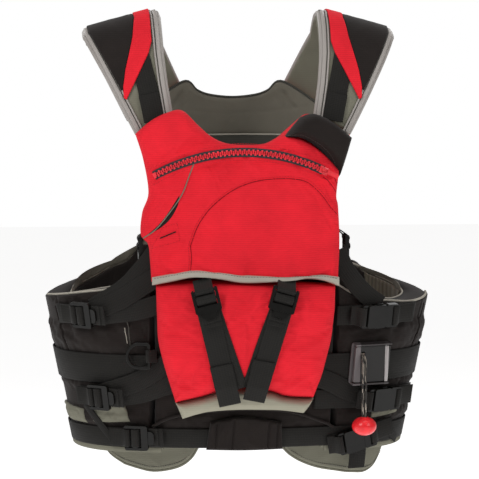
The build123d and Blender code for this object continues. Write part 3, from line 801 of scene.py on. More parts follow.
def studio():
    """The camera, five soft lights, a white world and a pale floor."""
    camera = bpy.data.cameras.new("camera")
    camera.sensor_width = 36
    camera.lens = 184.9
    camera.clip_end = 50
    bpy.context.scene.camera = aimed("camera", camera, AZIMUTH, ELEVATION, DISTANCE)
    area_light("key_left", -42, 34, 2.4, (0.8, 1.2), 22)
    area_light("key_right", 40, 30, 2.4, (0.8, 1.2), 13)
    area_light("top", 0, 80, 1.9, (1.4, 1.0), 9)
    area_light("back_left", -150, 30, 2.4, (0.9, 1.2), 14)
    area_light("back_right", 150, 30, 2.4, (0.9, 1.2), 14)
    world = bpy.data.worlds.new("studio")
    bpy.context.scene.world = world
    world.use_nodes = True
    tree = world.node_tree
    soft = tree.nodes["Background"]
    soft.inputs["Color"].default_value = (1, 0.985, 0.97, 1)
    soft.inputs["Strength"].default_value = 0.24
    seen = tree.nodes.new("ShaderNodeBackground")
    seen.inputs["Color"].default_value = (1, 1, 1, 1)
    seen.inputs["Strength"].default_value = 1.0
    rays = tree.nodes.new("ShaderNodeLightPath")
    mix = tree.nodes.new("ShaderNodeMixShader")
    tree.links.new(rays.outputs["Is Camera Ray"], mix.inputs["Fac"])
    tree.links.new(soft.outputs["Background"], mix.inputs[1])
    tree.links.new(seen.outputs["Background"], mix.inputs[2])
    tree.links.new(mix.outputs["Shader"], tree.nodes["World Output"].inputs["Surface"])
    bpy.context.scene.view_settings.view_transform = "Standard"
    material, tree, shader = node_material("floor", (0.95, 0.95, 0.95), 0.9)
    shader.inputs["Emission Color"].default_value = (1, 1, 1, 1)
    shader.inputs["Emission Strength"].default_value = 0.72
    cloudy = noise_node(tree, mapped(tree, (1, 1, 1)), 3)
    shade(tree, shader, cloudy, (0.92, 0.92, 0.92), (0.97, 0.97, 0.97))
    square = ((-1, -1), (1, -1), (1, 1), (-1, 1))
    corners = [(x * FLOOR_REACH, y * FLOOR_REACH, FLOOR_LEVEL) for x, y in square]
    floor = add_mesh("floor", corners, [(0, 1, 2, 3)], material)


# ---------------------------------------------------------------- cords
def cords():
    """The two cords that hang from the release lever, on the points of their CAD routes."""
    route = {
        "release_cord_left": [
            (147.87, -116.71, 164.47), (149.94, -123.25, 163.1),
            (149.18, -123.49, 120.6), (149.87, -122.76, 78.15),
        ],
        "release_cord_right": [
            (150.92, -115.74, 164.47), (152.99, -122.28, 163.1),
            (153.76, -122.04, 120.6), (153.07, -122.76, 78.15),
        ],
    }
    for node, points in route.items():
        curve = bpy.data.curves.new(node + "_line", "CURVE")
        curve.dimensions = "3D"
        curve.bevel_depth = 1.4 * MM
        curve.bevel_resolution = 4
        curve.use_fill_caps = True
        spline = curve.splines.new("NURBS")
        spline.points.add(len(points) - 1)
        for point, place in zip(spline.points, points):
            point.co = (*[c * MM for c in place], 1)
        spline.order_u = 3
        spline.use_endpoint_u = True
        spline.resolution_u = 16
        curve.materials.append(look("cord"))
        obj = bpy.data.objects.new(node + "_braid", curve)
        bpy.context.scene.collection.objects.link(obj)
        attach(obj, "release_toggle")
        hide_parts(node)
        [c * MM for c in points[0]]


studio()
cords()


# ---------------------------------------------------------------- soft panels
def behind(s, z, off):
    """The same chart over the back: runs are measured from the back's middle."""
    points = spot(s, z, off)
    points[..., 1] *= -1
    return points


SIDE_MIDDLE = FRONT_RUN + SIDE_RUN / 2
SIDE_TOP = 233  # height of the wings at the side seam

# Outlines of the soft panels, seen from the front.
NECK = [
    (-130, 442), (-109, 457), (-88, 466), (-66, 452), (-44, 435), (-22, 427), (0, 425),
    (22, 427), (44, 435), (66, 452), (88, 466), (109, 457), (130, 442),
]
FRONT_SIDE = [(113, 372), (119, 402), (130, 442)]
WING_TOP = {
    1: [(112, 258), (138, 242), (158, 235), (190, 231), (222, 228), (249, 231)],
    -1: [(112, 262), (145, 254), (175, 248.5), (199, 245), (230, 239), (249, 234)],
}
BACK_SIDE = [
    (248, 233), (214, 246), (180, 258), (150, 268), (134, 286), (129, 304), (129, 340), (142, 385), (166, 440),
]
BACK_TOP = [
    (-134, 437), (-118, 472), (-70, 504), (-50, 492), (-32, 486), (0, 483),
    (32, 486), (50, 492), (70, 504), (118, 476), (166, 440),
]
PANEL_BED = -33  # the inner face of a cover, whose outer face is at 0
# The height and width of each belt.
BELTS = [(214.5, 25), (146, 38), (104.5, 25), (56.5, 25)]


def belted(s, z, d, seed, puff=2.6):
    """Cloth that swells between the belts and is flat under them, with folds across it."""
    under = np.zeros_like(z)
    for height, width in BELTS:
        under = np.maximum(under, np.clip(1.6 - np.abs(z - height) / (width / 2), 0, 1))
    free = 1 - np.clip(under * 1.4, 0, 1)
    wrinkle = folds(s, z, 17, 2.2, 12, seed) * 0.9 + folds(s, z, 7, 2.6, -24, seed + 5) * 0.35
    return -0.9 + free * (puff * np.clip(d / 20, 0, 1) + wrinkle)


RIB_PITCH = 6.5


def wing(side, name, seed):
    """The black wing on one side: a padded cover, a ribbed lining and bound rims."""
    low_edge = [(116.0, HEM), (249, HEM)]
    flip = lambda pts: [(side * x, z) for x, z in pts]
    order = (lambda pts: pts) if side > 0 else (lambda pts: pts[::-1])
    bottom = unroll(order(flip(low_edge)))
    top = unroll(order(flip(WING_TOP[side])))
    inner = unroll(flip([(116, HEM), (114, 258)]))
    outer = [(side * SIDE_MIDDLE, HEM), (side * SIDE_MIDDLE, SIDE_TOP)]
    bottom[-1 if side > 0 else 0] = outer[0]
    top[-1 if side > 0 else 0] = outer[1]
    bottom[0 if side > 0 else -1] = inner[0]
    top[0 if side > 0 else -1] = inner[1]
    left, right = (inner, outer) if side > 0 else (outer, inner)
    grid = between(bottom, right, top, left, (130, 130))

    def shape(s, z, d):
        seams = dent(s, z, [(side * 262, 233), (side * 255, 200), (side * 250, 160)], 1.6, 1.6, 0.4)
        return belted(s, z, d, seed) + seams

    cover = pillow(
        name + "_shell", grid, PANEL_BED, -0.6, 4, look("black_fabric"), shape, held=under_belts, cap=3.0
    )
    piece(cover, "black_fabric", stands_for=[f"{name}_cover", f"{name}_foam"], padded=0.7)
    low_line = [(a, HEM + 1) for a, b in bottom]
    lining_grid = between(low_line, right, [(a, b - 1) for a, b in top], left, (70, 60))

    def ribs(s, z, d):
        upright = 0.7 * np.sin(s * 2 * math.pi / RIB_PITCH) * np.clip(d / 8, 0, 1)
        return -(upright + 0.3 * folds(s, z, 14, 2, 80, seed + 9))

    lining = pillow(name + "_inside", lining_grid, -33.4, -35.4, 5, look("lining_rib"), ribs)
    piece(lining, "grey_lining", stands_for=[f"{name}_lining"], padded=0.2)
    rim = unroll(flip(WING_TOP[side][:-1])) + [(side * (SIDE_MIDDLE - 5), 232.4)]
    bound = [(s, z - 1.2) for s, z in rim]
    edge = tube(name + "_rim", chart_line(bound, -3.0, 90), 1.5, look("binding"))
    piece(edge, "binding")
    inner_rim = tube(name + "_inner_rim", chart_line(rim, -33.5, 90), 1.3, look("binding"))
    piece(inner_rim, "binding")


def front_panel():
    """The front: black below the pocket's lip, red above it, and its lining."""
    low = between(
        unroll([(-116, HEM), (-40, HEM), (40, HEM), (116, HEM)]),
        unroll([(116, HEM), (116, 150), (116, 263)]),
        unroll([(-116, 263), (0, 263), (116, 263)]),
        unroll([(-116, HEM), (-116, 150), (-116, 263)]),
        (110, 110),
    )
    black = pillow(
        "front_lower_shell", low, PANEL_BED, -0.4, 7, look("black_fabric"),
        lambda s, z, d: belted(s, z, d, 31, 1.6) * 0.8, held=under_belts, cap=2.0,
    )
    piece(black, "black_fabric", stands_for=["front_cover", "front_foam"], padded=0.7)
    high = between(
        unroll([(-116, 260), (0, 260), (116, 260)]),
        unroll([(116, 260), (115, 300)] + FRONT_SIDE),
        unroll(NECK),
        unroll([(-116, 260), (-115, 300)] + [(-x, z) for x, z in FRONT_SIDE]),
        (120, 90),
    )
    red = pillow(
        "front_upper_shell", high, PANEL_BED, 1.5, 12, look("red_fabric"),
        lambda s, z, d: 0.8 * folds(s, z, 26, 1.8, 20, 41),
    )
    piece(red, "red_fabric", padded=0.8)
    inside = between(
        unroll([(-114, HEM + 2), (0, HEM + 2), (114, HEM + 2)]),
        unroll([(114, HEM + 2), (114, 300)] + FRONT_SIDE),
        unroll([(x, z - 1) for x, z in NECK]),
        unroll([(-114, HEM + 2), (-114, 300)] + [(-x, z) for x, z in FRONT_SIDE]),
        (70, 90),
    )
    lining = pillow(
        "front_inside", inside, -33.2, -35.5, 6, look("grey_lining"),
        lambda s, z, d: -0.5 * folds(s, z, 22, 2, 60, 47),
    )
    piece(lining, "grey_lining", stands_for=["front_lining"], padded=0.2)


def back_panel():
    """The back: black below the arms, red above, and the grey lining seen through the neck."""
    corner = unroll([(152, 267)])[0]
    arm_low = [(SIDE_MIDDLE, 233)] + unroll([(214, 246), (180, 258)]) + [corner]
    right_low = [(SIDE_MIDDLE, HEM), (SIDE_MIDDLE, 120), (SIDE_MIDDLE, 232)]
    left_low = [(-s, z) for s, z in right_low]
    waist = [(-s, z) for s, z in arm_low] + [(0, 266)] + arm_low[::-1]
    low = between([(-SIDE_MIDDLE, HEM), (0, HEM), (SIDE_MIDDLE, HEM)], right_low, waist, left_low, (190, 120))
    black = pillow(
        "back_lower_shell", low, PANEL_BED, -0.4, 7, look("black_fabric"),
        lambda s, z, d: belted(s, z, d, 61, 2.4)
        + sum(dent(s, z, [(x, 50), (x, 230)], 1.6, 1.4, 0.4) for x in (-118, 118)),
        place=behind, held=under_belts, cap=3.0,
    )
    piece(black, "black_fabric", stands_for=["back_cover", "back_foam"], padded=0.7)
    side = unroll(BACK_SIDE)
    side[0] = (SIDE_MIDDLE, 232)
    rising = unroll([(152, 266), (144, 273), (134, 286), (129, 304), (129, 340), (142, 385), (166, 440)])
    left_rising = unroll([(152, 266), (143, 273), (131, 286), (122, 304), (115, 340), (116, 385), (134, 437)])
    left_side = unroll(BACK_SIDE[:4]) + left_rising[2:]
    left_side[0] = (SIDE_MIDDLE, 232)
    upper = between(
        [(-rising[0][0], 266), (0, 264), rising[0]], rising, unroll(BACK_TOP),
        [(-s, z) for s, z in left_rising], (150, 130),
    )
    yoke_seam = [(-150, 392), (-80, 404), (0, 408), (80, 404), (150, 392)]
    spine_seam = [(0, 268), (0, 330), (0, 406)]

    def red_shape(s, z, d):
        seams = dent(s, z, yoke_seam, 1.7, 1.8, 0.5) + dent(s, z, spine_seam, 1.5, 1.2, 0.3)
        wrinkles = folds(s, z, 30, 2, 15, 67) + 0.4 * folds(s, z, 11, 2.4, -30, 71)
        return seams + 1.2 * np.clip(d / 30, 0, 1) + wrinkles

    red = pillow(
        "back_upper_shell", upper, PANEL_BED, -0.8, 10, look("red_fabric"), red_shape, place=behind,
        held=along_lines([yoke_seam, spine_seam], 4), cap=4.0,
    )
    piece(red, "red_fabric", padded=0.8)
    inner_side = [(SIDE_MIDDLE, HEM + 1), (SIDE_MIDDLE, 140)] + [(s - 1, z - 1) for s, z in side]
    inside = between(
        [(-SIDE_MIDDLE, HEM + 1), (0, HEM + 1), (SIDE_MIDDLE, HEM + 1)],
        inner_side,
        [(s, z - 1) for s, z in unroll(BACK_TOP)],
        [(-SIDE_MIDDLE, HEM + 1), (-SIDE_MIDDLE, 140)] + [(1 - s, z - 1) for s, z in left_side],
        (170, 170),
    )

    def inside_shape(s, z, d):
        pleats = 0
        for k in (-1, 1):
            pleats = pleats + near_line(s, z, [(k * 66, 492), (k * 76, 476)], 3.0)
            pleats = pleats - near_line(s, z, [(k * 76, 490), (k * 92, 470)], 2.2)
        soft = folds(s, z, 34, 2.2, 8, 83) * 1.2 + folds(s, z, 12, 2, 60, 89) * 0.5
        return -(soft + 2.4 * pleats + dent(s, z, [(-110, 470), (0, 462), (110, 470)], 2, 1.0, 0.3))

    lining = pillow("back_inside", inside, -33.4, -35.6, 6, look("grey_lining"), inside_shape, place=behind)
    piece(lining, "grey_lining", stands_for=["back_lining"], padded=0.2)
    rims = [tube("rim_neck", chart_line(unroll(BACK_TOP), -33.6, 90, behind), 1.4, look("shadow_edge"))]
    for k in (-1, 1):
        arm = side if k > 0 else [(-s, z) for s, z in left_side]
        rims.append(tube("rim_arm", chart_line(arm, -33.6, 90, behind), 1.6, look("binding")))
    piece(join("back_inner_rims", rims), "binding")
    arm_facings(side)
    label = between(
        unroll([(-52, 385), (80, 385)]), unroll([(80, 385), (80, 433)]),
        unroll([(-52, 433), (80, 433)]), unroll([(-52, 385), (-52, 433)]), (40, 24),
    )
    patch = pillow("inner_patch", label, -37.4, -38.0, 1.5, look("shadow_edge"), place=behind)
    piece(patch, "grey_lining", padded=0.05)
    border = tube(
        "inner_patch_edge",
        chart_line(unroll([(-52, 433), (14, 433.5), (80, 433)]), -38.2, 60, behind), 1.1, look("binding"),
    )
    piece(border, "binding")


def arm_facings(side):
    """Patches inside the arms' openings: black ones, and a ribbed one by the right side seam."""
    patches = (
        (-1, 120, SIDE_MIDDLE - 1, 288, "black_fabric", "black_fabric"),
        (1, 120, 205, 288, "black_fabric", "black_fabric"),
        (1, 203, SIDE_MIDDLE - 1, 250, "lining_rib", "grey_lining"),
    )
    for n, (k, near, far, near_top, stuff, slot) in enumerate(patches):
        top_line = [(far, np.interp(far, [232, 320], [250, 232]) - 2)]
        top_line += [(s, z - 2) for s, z in side if near < s < far and z < 290] + [(near, near_top)]
        ordered = sorted((k * s, z) for s, z in top_line)
        foot = sorted(((k * near, 120), (k * far, 120)))
        patch_grid = between(foot, [foot[1], ordered[-1]], ordered, [foot[0], ordered[0]], (50, 40))
        facing = pillow(
            f"arm_facing_{n}", patch_grid, -36.2, -38.4, 4, look(stuff),
            lambda s, z, d: -0.8 * folds(s, z, 14, 2.4, 80, 97), place=behind,
        )
        piece(facing, slot, padded=0.2)


LOBE_OFF = -22  # how far behind the cover the lobes hang
LOBE_TOP = 56


def lobes():
    """The two grey flaps below the hem, with bound edges."""
    shapes = {
        "left_lobe": [
            (-174, 42), (-166, 30), (-152, 20), (-133, 13), (-114, 9), (-95, 11), (-77, 17), (-64, 28), (-56, 42),
        ],
        "right_lobe": [
            (50, 42), (62, 30), (78, 20), (98, 12), (120, 7), (142, 3), (160, 2), (172, 8), (180, 20), (188, 42),
        ],
    }
    made = []
    for name, low in shapes.items():
        a, b = low[0], low[-1]
        foot, corner_a, corner_b, end_a, end_b = (
            unroll(line, off=LOBE_OFF) for line in (low, [a], [b], [(a[0], LOBE_TOP)], [(b[0], LOBE_TOP)])
        )
        grid = between(foot, corner_b + end_b, end_a + end_b, corner_a + end_a, (90, 36))
        flap = pillow(
            name, grid, -26, -17.5, 4, look("grey_trim"), lambda s, z, d: 0.7 * folds(s, z, 20, 2, 10, 91)
        )
        made.append(flap)
        rim = tube(name + "_bound", chart_line(foot, -20.6, 100), 1.7, look("grey_trim"))
        piece(rim, "grey_trim")
        seam = [(x, z + 6) for x, z in foot][1:-1]
        piece(stitches(name + "_stitches", seam, -17.0, look("stitch_dark")), "grey_trim")
    piece(join("hem_lobes_soft", made), "grey_trim", stands_for=["hem_lobes"], padded=0.4)


SURFACES = {}


def surface_height(obj, line, guess):
    """How far a piece's outer surface stands off the cover at chart points of the front."""
    if obj.name not in SURFACES:
        corners = [v.co[:] for v in obj.data.vertices]
        SURFACES[obj.name] = BVHTree.FromPolygons(corners, [p.vertices[:] for p in obj.data.polygons])
    heights = []
    for s, z in line:
        foot, tip = Vector(spot(s, z, 0.0)) * MM, Vector(spot(s, z, 90.0)) * MM
        hit = SURFACES[obj.name].ray_cast(tip, (foot - tip).normalized())
        heights.append(guess if hit[0] is None else (hit[0] - foot).length / MM)
    return np.array(heights)


def offset_line(line, by):
    """Chart points moved sideways from a line."""
    dense = smooth_line(line, 60)
    run = np.gradient(dense, axis=0)
    run /= np.linalg.norm(run, axis=1)[:, None]
    return [tuple(p) for p in dense + np.stack([-run[:, 1], run[:, 0]], axis=1) * by]


STITCH = 3.4  # from one stitch to the next


def thread_row(name, dense, heights, shifts, material, thick, place=spot):
    """A row of thread stitches along a dense chart line that has a height at each point.

    Each stitch has three rings, which stand off the line's heights by the shifts.
    """
    along = distances(dense)
    points, faces = [], []
    for start in np.arange(0, along[-1] - STITCH, STITCH):
        at = np.array([start, start + 0.35 * STITCH, start + 0.7 * STITCH])
        s, z, h = (np.interp(at, along, column) for column in (dense[:, 0], dense[:, 1], heights))
        run = np.array([s[2] - s[0], z[2] - z[0]])
        run /= np.linalg.norm(run)
        base = len(points)
        for i, shift in enumerate(shifts):
            for k, up in ((-1, 0), (0, thick), (1, 0), (0, -thick)):
                across = thick * k
                points.append(place(s[i] - run[1] * across, z[i] + run[0] * across, h[i] + shift + up))
        faces += [tuple(base + n for n in face) for face in sweep_faces(3, 4)]
    return add_mesh(name, points, faces, material)


def stitches(name, line, off, material):
    """Thread stitches along chart points, all at one height."""
    dense = smooth_line(line, 400)
    thick = 0.35
    return thread_row(name, dense, np.full(len(dense), off), (-thick, thick, -thick), material, thick)


def laid_stitches(name, obj, line, material):
    """Thread stitches that lie on a piece's surface, along chart points."""
    dense = smooth_line(line, 160)
    return thread_row(name, dense, surface_height(obj, dense, 0), (-0.1, 0.25, -0.1), material, 0.32)


# ---------------------------------------------------------------- zipper line
ZIP_OFFSET = 29.2
ZIP_POINTS = unroll([(-114, 392), (-12, 421), (96, 398)], off=ZIP_OFFSET)
ZIP_ENDS = [spot(s, z, ZIP_OFFSET) for s, z in ZIP_POINTS]


def zip_circle():
    """The circle through the zipper's ends and top: its centre, two axes, radius and sweep."""
    left, top, right = [Vector(p) for p in ZIP_ENDS]
    ab, ac = top - left, right - left
    axis = ab.cross(ac)
    across = axis.cross(ab) * ac.dot(ac) + ac.cross(axis) * ab.dot(ab)
    centre = left + across * (0.5 / axis.dot(axis))
    x = (left - centre).normalized()
    z = axis.normalized()
    return centre, x, z.cross(x), (left - centre).length, (left - centre).angle(right - centre)


ZIP_CENTRE, ZIP_X, ZIP_Y, ZIP_RADIUS, ZIP_SWEEP = zip_circle()
ZIP_NORMAL = Vector((0, -1, TAPER_UP)).normalized()


def zip_frame(turn):
    """A point of the zipper with its run, its spoke flat on the pocket, and the way out."""
    spoke = ZIP_X * math.cos(turn) + ZIP_Y * math.sin(turn)
    run = -ZIP_X * math.sin(turn) + ZIP_Y * math.cos(turn)
    out = (ZIP_NORMAL - run * ZIP_NORMAL.dot(run)).normalized()
    return ZIP_CENTRE + spoke * ZIP_RADIUS, run, out.cross(run).normalized(), out


def zip_chart(count=60, spare=0.03):
    """The zipper's line in the front's chart, with its height off the cover."""
    line = []
    for turn in np.linspace(-spare, ZIP_SWEEP + spare, count):
        p = zip_frame(turn)[0]
        angle = math.atan2(p.x, FRONT_CENTRE - p.y)
        off = math.hypot(p.x, FRONT_CENTRE - p.y) - FRONT_RADIUS - float(swell(p.z))
        line.append((FRONT_RADIUS * angle, p.z, off))
    return np.array(line)


TOOTH_PITCH = 2.7


def zip_tape(side):
    """The tape on one side of the zipper, swept along the zipper's circle."""
    section = [(0.9, 0.1), (3.0, 0.15), (5.3, -0.1), (5.7, -0.5), (5.3, -0.8), (0.9, -0.7)]
    points = []
    for turn in np.linspace(0, ZIP_SWEEP, 90):
        p, _, across, out = zip_frame(turn)
        points += [p + across * (side * a) + out * h for a, h in section]
    return add_mesh("tape", points, sweep_faces(90, len(section)), look("zipper_tape"), False)


def zipper():
    """Two woven tapes and a row of interlocking moulded teeth along the pocket's mouth."""
    piece(join("zipper_tapes", [zip_tape(k) for k in (-1, 1)]), "zipper_tape", stands_for=["zipper_tape"])
    half_tooth = [(3.6, 1.25), (1.4, 1.15), (-0.2, 0.75), (-1.5, 1.1), (-2.1, 0.7)]
    tooth = half_tooth + [(a, -w) for a, w in reversed(half_tooth)]
    stop = [(-3.4, -1.4), (3.4, -1.4), (3.4, 1.4), (-3.4, 1.4)]
    points, faces = [], []

    def block(turn, rim, side, levels):
        """A tooth or end stop: its outline at several heights, each shrunk by its own factor."""
        p, run, across, out = zip_frame(turn)
        base = len(points)
        for height, shrink in levels:
            for a, w in rim:
                points.append(p + across * (side * a * shrink) + run * (w * shrink) + out * height)
        faces.extend(tuple(base + n for n in face) for face in sweep_faces(len(levels), len(rim)))

    count = int(ZIP_RADIUS * (ZIP_SWEEP - 0.016) / TOOTH_PITCH)
    for n in range(count):
        turn = 0.006 + (n + 0.5) * (ZIP_SWEEP - 0.02) / count
        block(turn, tooth, -1 if n % 2 else 1, ((0.0, 1), (1.5, 1), (2.1, 0.78)))
    for turn in (0.003, ZIP_SWEEP - 0.002):
        block(turn, stop, 1, ((0.0, 1), (2.2, 1)))
    teeth = add_mesh("zipper_tooth_row", points, faces, look("zipper_plastic"), False)
    piece(teeth, "zipper_plastic", stands_for=["zipper_teeth"])


# ---------------------------------------------------------------- chest pocket, lip, band and flap
POUCH_BED = 4.6  # how far the pockets' inner faces stand off the cover
FLAP_EDGE = [(-63, 410), (-70, 392), (-79, 369), (-93, 348), (-111, 326), (-128, 314)]
ARC_SEAM = [
    (-69, 306), (-61, 328), (-49, 347), (-34, 362), (-14, 376), (7, 384),
    (29, 387.5), (55, 388), (75, 383.5), (91, 370), (104, 352.5), (113, 343),
]
GUSSET_SEAMS = [[(98, 398), (108.5, 390), (115, 378)], [(95, 390), (104, 382), (112, 371)]]
FLAP_CREASE = [(-116, 372), (-98, 371), (-84, 373)]
POCKET_SEAM = [(-69, 275), (-68, 290), (-69, 306)]
WELT = [(-106, 315), (-87, 323)]
WELT_BOX = [  # corners are given twice
    (-117, 302), (-117, 302), (-82, 312), (-82, 312), (-85, 334), (-85, 334),
    (-103, 328), (-103, 328), (-117, 302),
]


def signed_distance(s, z, line):
    """How far chart points are from a line, above 0 on its left."""
    edge = smooth_line(line, 120)
    gaps = np.stack([s[..., None] - edge[:, 0], z[..., None] - edge[:, 1]], axis=-1)
    far = (gaps**2).sum(-1)
    nearest = far.argmin(-1)
    run = np.gradient(edge, axis=0)
    cross = run[nearest, 0] * np.take_along_axis(gaps[..., 1], nearest[..., None], -1)[..., 0]
    cross -= run[nearest, 1] * np.take_along_axis(gaps[..., 0], nearest[..., None], -1)[..., 0]
    return np.sqrt(far.min(-1)) * np.sign(cross)


def chest_pocket():
    """The red chest pocket, with its seams, the curved hand flap and the zipper's channel."""
    chart = lambda pts: unroll(pts, off=20)
    grid = between(
        chart([
            (-120, 259.5), (-92, 264), (-66, 268.5), (-36, 266.5), (-6, 262),
            (32, 262), (70, 263), (96, 262), (118, 258),
        ]),
        chart([(118, 258), (120.5, 310), (119, 352), (117, 366), (121, 398)]),
        chart([
            (-139, 443), (-120, 459), (-100, 469), (-80, 472), (-60, 454), (-42, 439), (-22, 431),
            (2, 429.5), (26, 431), (47, 440), (70, 437), (97, 421), (121, 398),
        ]),
        chart([
            (-120, 259.5), (-122, 290), (-124, 306), (-133, 318),
            (-131, 345), (-123, 370), (-129, 410), (-139, 443),
        ]),
        (190, 170),
    )
    zip_line = zip_chart()
    flap = chart(FLAP_EDGE)

    def shape(s, z, d):
        away = signed_distance(s, z, flap)
        on_flap = 1 / (1 + np.exp(away / 0.7))
        reach = np.clip((412 - z) / 10, 0, 1)
        height = 2.6 * on_flap * reach * np.exp(-np.abs(away) / 42)
        seam = dent(s, z, chart(ARC_SEAM), 1.6, 2.2, 1.2) + dent(s, z, chart(POCKET_SEAM), 1.6, 2.0, 0.8)
        seam += sum(dent(s, z, chart(line), 1.4, 1.6, 0.6) for line in GUSSET_SEAMS)
        seam += dent(s, z, chart(FLAP_CREASE), 1.6, 1.3, 0.8)
        soft = 2.0 * folds(s, z, 40, 1.7, 35, 11) + 0.9 * folds(s, z, 17, 2.4, -30, 13)
        soft += 0.35 * folds(s, z, 8, 3, 20, 17)
        belly = 3.2 * np.exp(-(((s - 20) / 75) ** 2) - (((z - 330) / 55) ** 2)) - 3.5
        sag = 1.4 * np.exp(-(((s + 100) / 26) ** 2) - (((z - 430) / 22) ** 2))
        body = height + seam + soft * 0.75 + belly + sag
        gap = np.sqrt((s[..., None] - zip_line[:, 0]) ** 2 + (z[..., None] - zip_line[:, 1]) ** 2)
        at = gap.argmin(-1)
        gap = gap.min(-1)
        bed = zip_line[at, 2] - 28 - 1.6
        hold = np.clip((15.5 - gap) / 7, 0, 1)
        hold = hold * hold * (3 - 2 * hold)
        lips = 1.5 * np.exp(-(((gap - 9.5) / 2.0) ** 2))
        return body * (1 - hold) + bed * hold + lips + strap_tent(s, z)

    held = along_lines([chart(ARC_SEAM), chart(POCKET_SEAM), flap, [(a, b) for a, b, _ in zip_line]], 6)
    pocket = pillow(
        "chest_pocket_soft", grid, POUCH_BED, 28, 15, look("red_fabric"), shape,
        steep=6, held=held, slack=0.035, cap=4.5,
    )
    piece(pocket, "red_fabric", stands_for=["chest_pocket"], padded=0.75)
    chest_details(pocket, chart, [(s, z) for s, z, _ in zip_line])


def chest_details(pocket, chart, zip_line):
    """What is sewn on the chest pocket: the flap's binding, a black strip of painted shadow in the flap's mouth,
    the seams with painted shade in their grooves, and the welt.
    """

    def resting(line, count, lift_by):
        """3-D points along a line, on the pocket's surface."""
        dense = smooth_line(line, count)
        return spot(dense[:, 0], dense[:, 1], surface_height(pocket, dense, 28) + lift_by)

    edge = tube("hand_flap_binding", resting(chart(FLAP_EDGE), 60, 0.5), 0.75, look("grey_trim"))
    piece(edge, "grey_trim", stands_for=["hand_flap"])
    # Painted shadow: a black strip along the flap's edge stands for the shade in the flap's mouth.
    upper = smooth_line(chart([(-82, 368), (-98, 343), (-109, 330), (-120, 320)]), 60)
    lower = smooth_line(chart([(-82, 368), (-84.5, 355), (-93.5, 339), (-106, 327.5), (-120, 320)]), 60)
    rows = [upper * (1 - t) + lower * t for t in np.linspace(0, 1, 7)]
    heights = [surface_height(pocket, row, 28) + 0.3 for row in rows]
    mouth = np.concatenate([spot(row[:, 0], row[:, 1], height) for row, height in zip(rows, heights)])
    corners = ((0, 0), (0, 1), (1, 1), (1, 0))
    strips = [tuple((r + b) * 60 + i + a for b, a in corners) for r in range(6) for i in range(59)]
    piece(add_mesh("hand_flap_mouth", mouth, strips, look("black_fabric")), "black_fabric")
    creases = []

    def sew(name, line):
        piece(laid_stitches(name, pocket, line, look("thread_red")), "red_fabric")

    for n, line in enumerate((ARC_SEAM, POCKET_SEAM, *GUSSET_SEAMS), 1):
        # Painted shade: a dark red tube in each seam's groove.
        creases.append(tube("crease", resting(chart(line), 120, 0), 0.5, look("dark_red_thread_and_seam_shade")))
        sew(f"chest_stitch_{n}", offset_line(chart(line), 2.6))
    piece(join("chest_seams", creases), "red_fabric")
    slit = tube("welt_slit", resting(chart(WELT), 14, 0.2), 1.3, look("black_fabric"), flat=0.5)
    piece(slit, "black_fabric")
    sew("welt_stitches", chart(WELT_BOX))
    sew("zip_stitch_a", offset_line(zip_line, -9.4))
    sew("zip_stitch_b", offset_line(zip_line, 9.4))


def laid_panel(name, grid, under, material, thick=1.2):
    """A thin patch of cloth that follows the outer surface of the piece under it."""
    shell = bpy.data.objects[under]
    flat = surface_height(shell, grid.reshape(-1, 2), 2).reshape(grid.shape[:2])
    low = float(flat.min()) - 1.0

    def shape(s, z, d):
        return (flat + thick - low) - (rounded(d, 2) * thick)

    return pillow(name, grid, low, low + thick, 2, material, shape)


STRAP_PUSH = 13.5


def strap_tent(s, z):
    """How far the pocket's foot is pushed out where it lies over the two pouch straps."""
    over_strap = sum(np.exp(-(((s - x) / 27) ** 2)) for x, _ in unroll([(-56, 262), (48, 262)], off=30))
    return STRAP_PUSH * over_strap * np.clip((306 - z) / 42, 0, 1) ** 1.6


def pocket_lip():
    """The light grey tape along the pocket's foot, folded down at its right end."""
    line = [
        (-118, 262), (-92, 267), (-66, 272), (-36, 270), (-6, 265.3),
        (32, 265.3), (58, 266), (76, 266.5), (96, 265), (116, 260),
    ]
    tall = [4.8, 4.8, 4.8, 4.8, 4.8, 4.4, 3.4, 2.2, 3.6, 5.6]
    upper = unroll([(x, z + h) for (x, z), h in zip(line, tall)], off=28)
    lower = unroll([(x, z - h * 1.08) for (x, z), h in zip(line, tall)], off=28)
    grid = between(lower, [lower[-1], upper[-1]], upper, [lower[0], upper[0]], (160, 16))
    lip = pillow(
        "pocket_lip_tape", grid, 25, 30.6, 2.2, look("binding"),
        lambda s, z, d: 0.6 * folds(s, z, 18, 1.2, 80, 19) + strap_tent(s, z), under=1,
    )
    piece(lip, "binding", stands_for=["pocket_lip"], padded=0.3)
    seam = unroll([(x, z + h * 0.6) for (x, z), h in zip(line, tall)], off=28)
    piece(laid_stitches("lip_stitch", lip, seam, look("stitch_dark")), "binding")


def shoulder_band():
    """The plain black band over the pocket's right shoulder."""
    chart = lambda pts: unroll(pts, off=24)
    grid = between(
        chart([(50, 438), (70, 438), (84, 432), (99, 421), (111, 407), (121, 388)]),
        chart([(121, 388), (130, 413), (138, 438)]),
        chart([(72, 463), (84, 467), (96, 466), (114, 457), (138, 438)]),
        chart([(50, 438), (62, 452), (72, 463)]),
        (90, 50),
    )
    band = pillow(
        "shoulder_band_soft", grid, POUCH_BED, 29.0, 10, look("black_fabric"),
        lambda s, z, d: 0.5 * folds(s, z, 24, 2, 50, 23),
    )
    piece(band, "black_fabric", stands_for=["shoulder_band"], padded=0.6)
    rim = chart([(54, 441), (70, 441.5), (84, 435.5), (98, 426), (109, 414), (117, 399)])
    piece(laid_stitches("band_stitches", band, rim, look("stitch_dark")), "black_fabric")


# ---------------------------------------------------------------- lower pouch
POUCH_STRAPS = [((-55, 250), (-22, 110)), ((46, 250), (9, 114))]


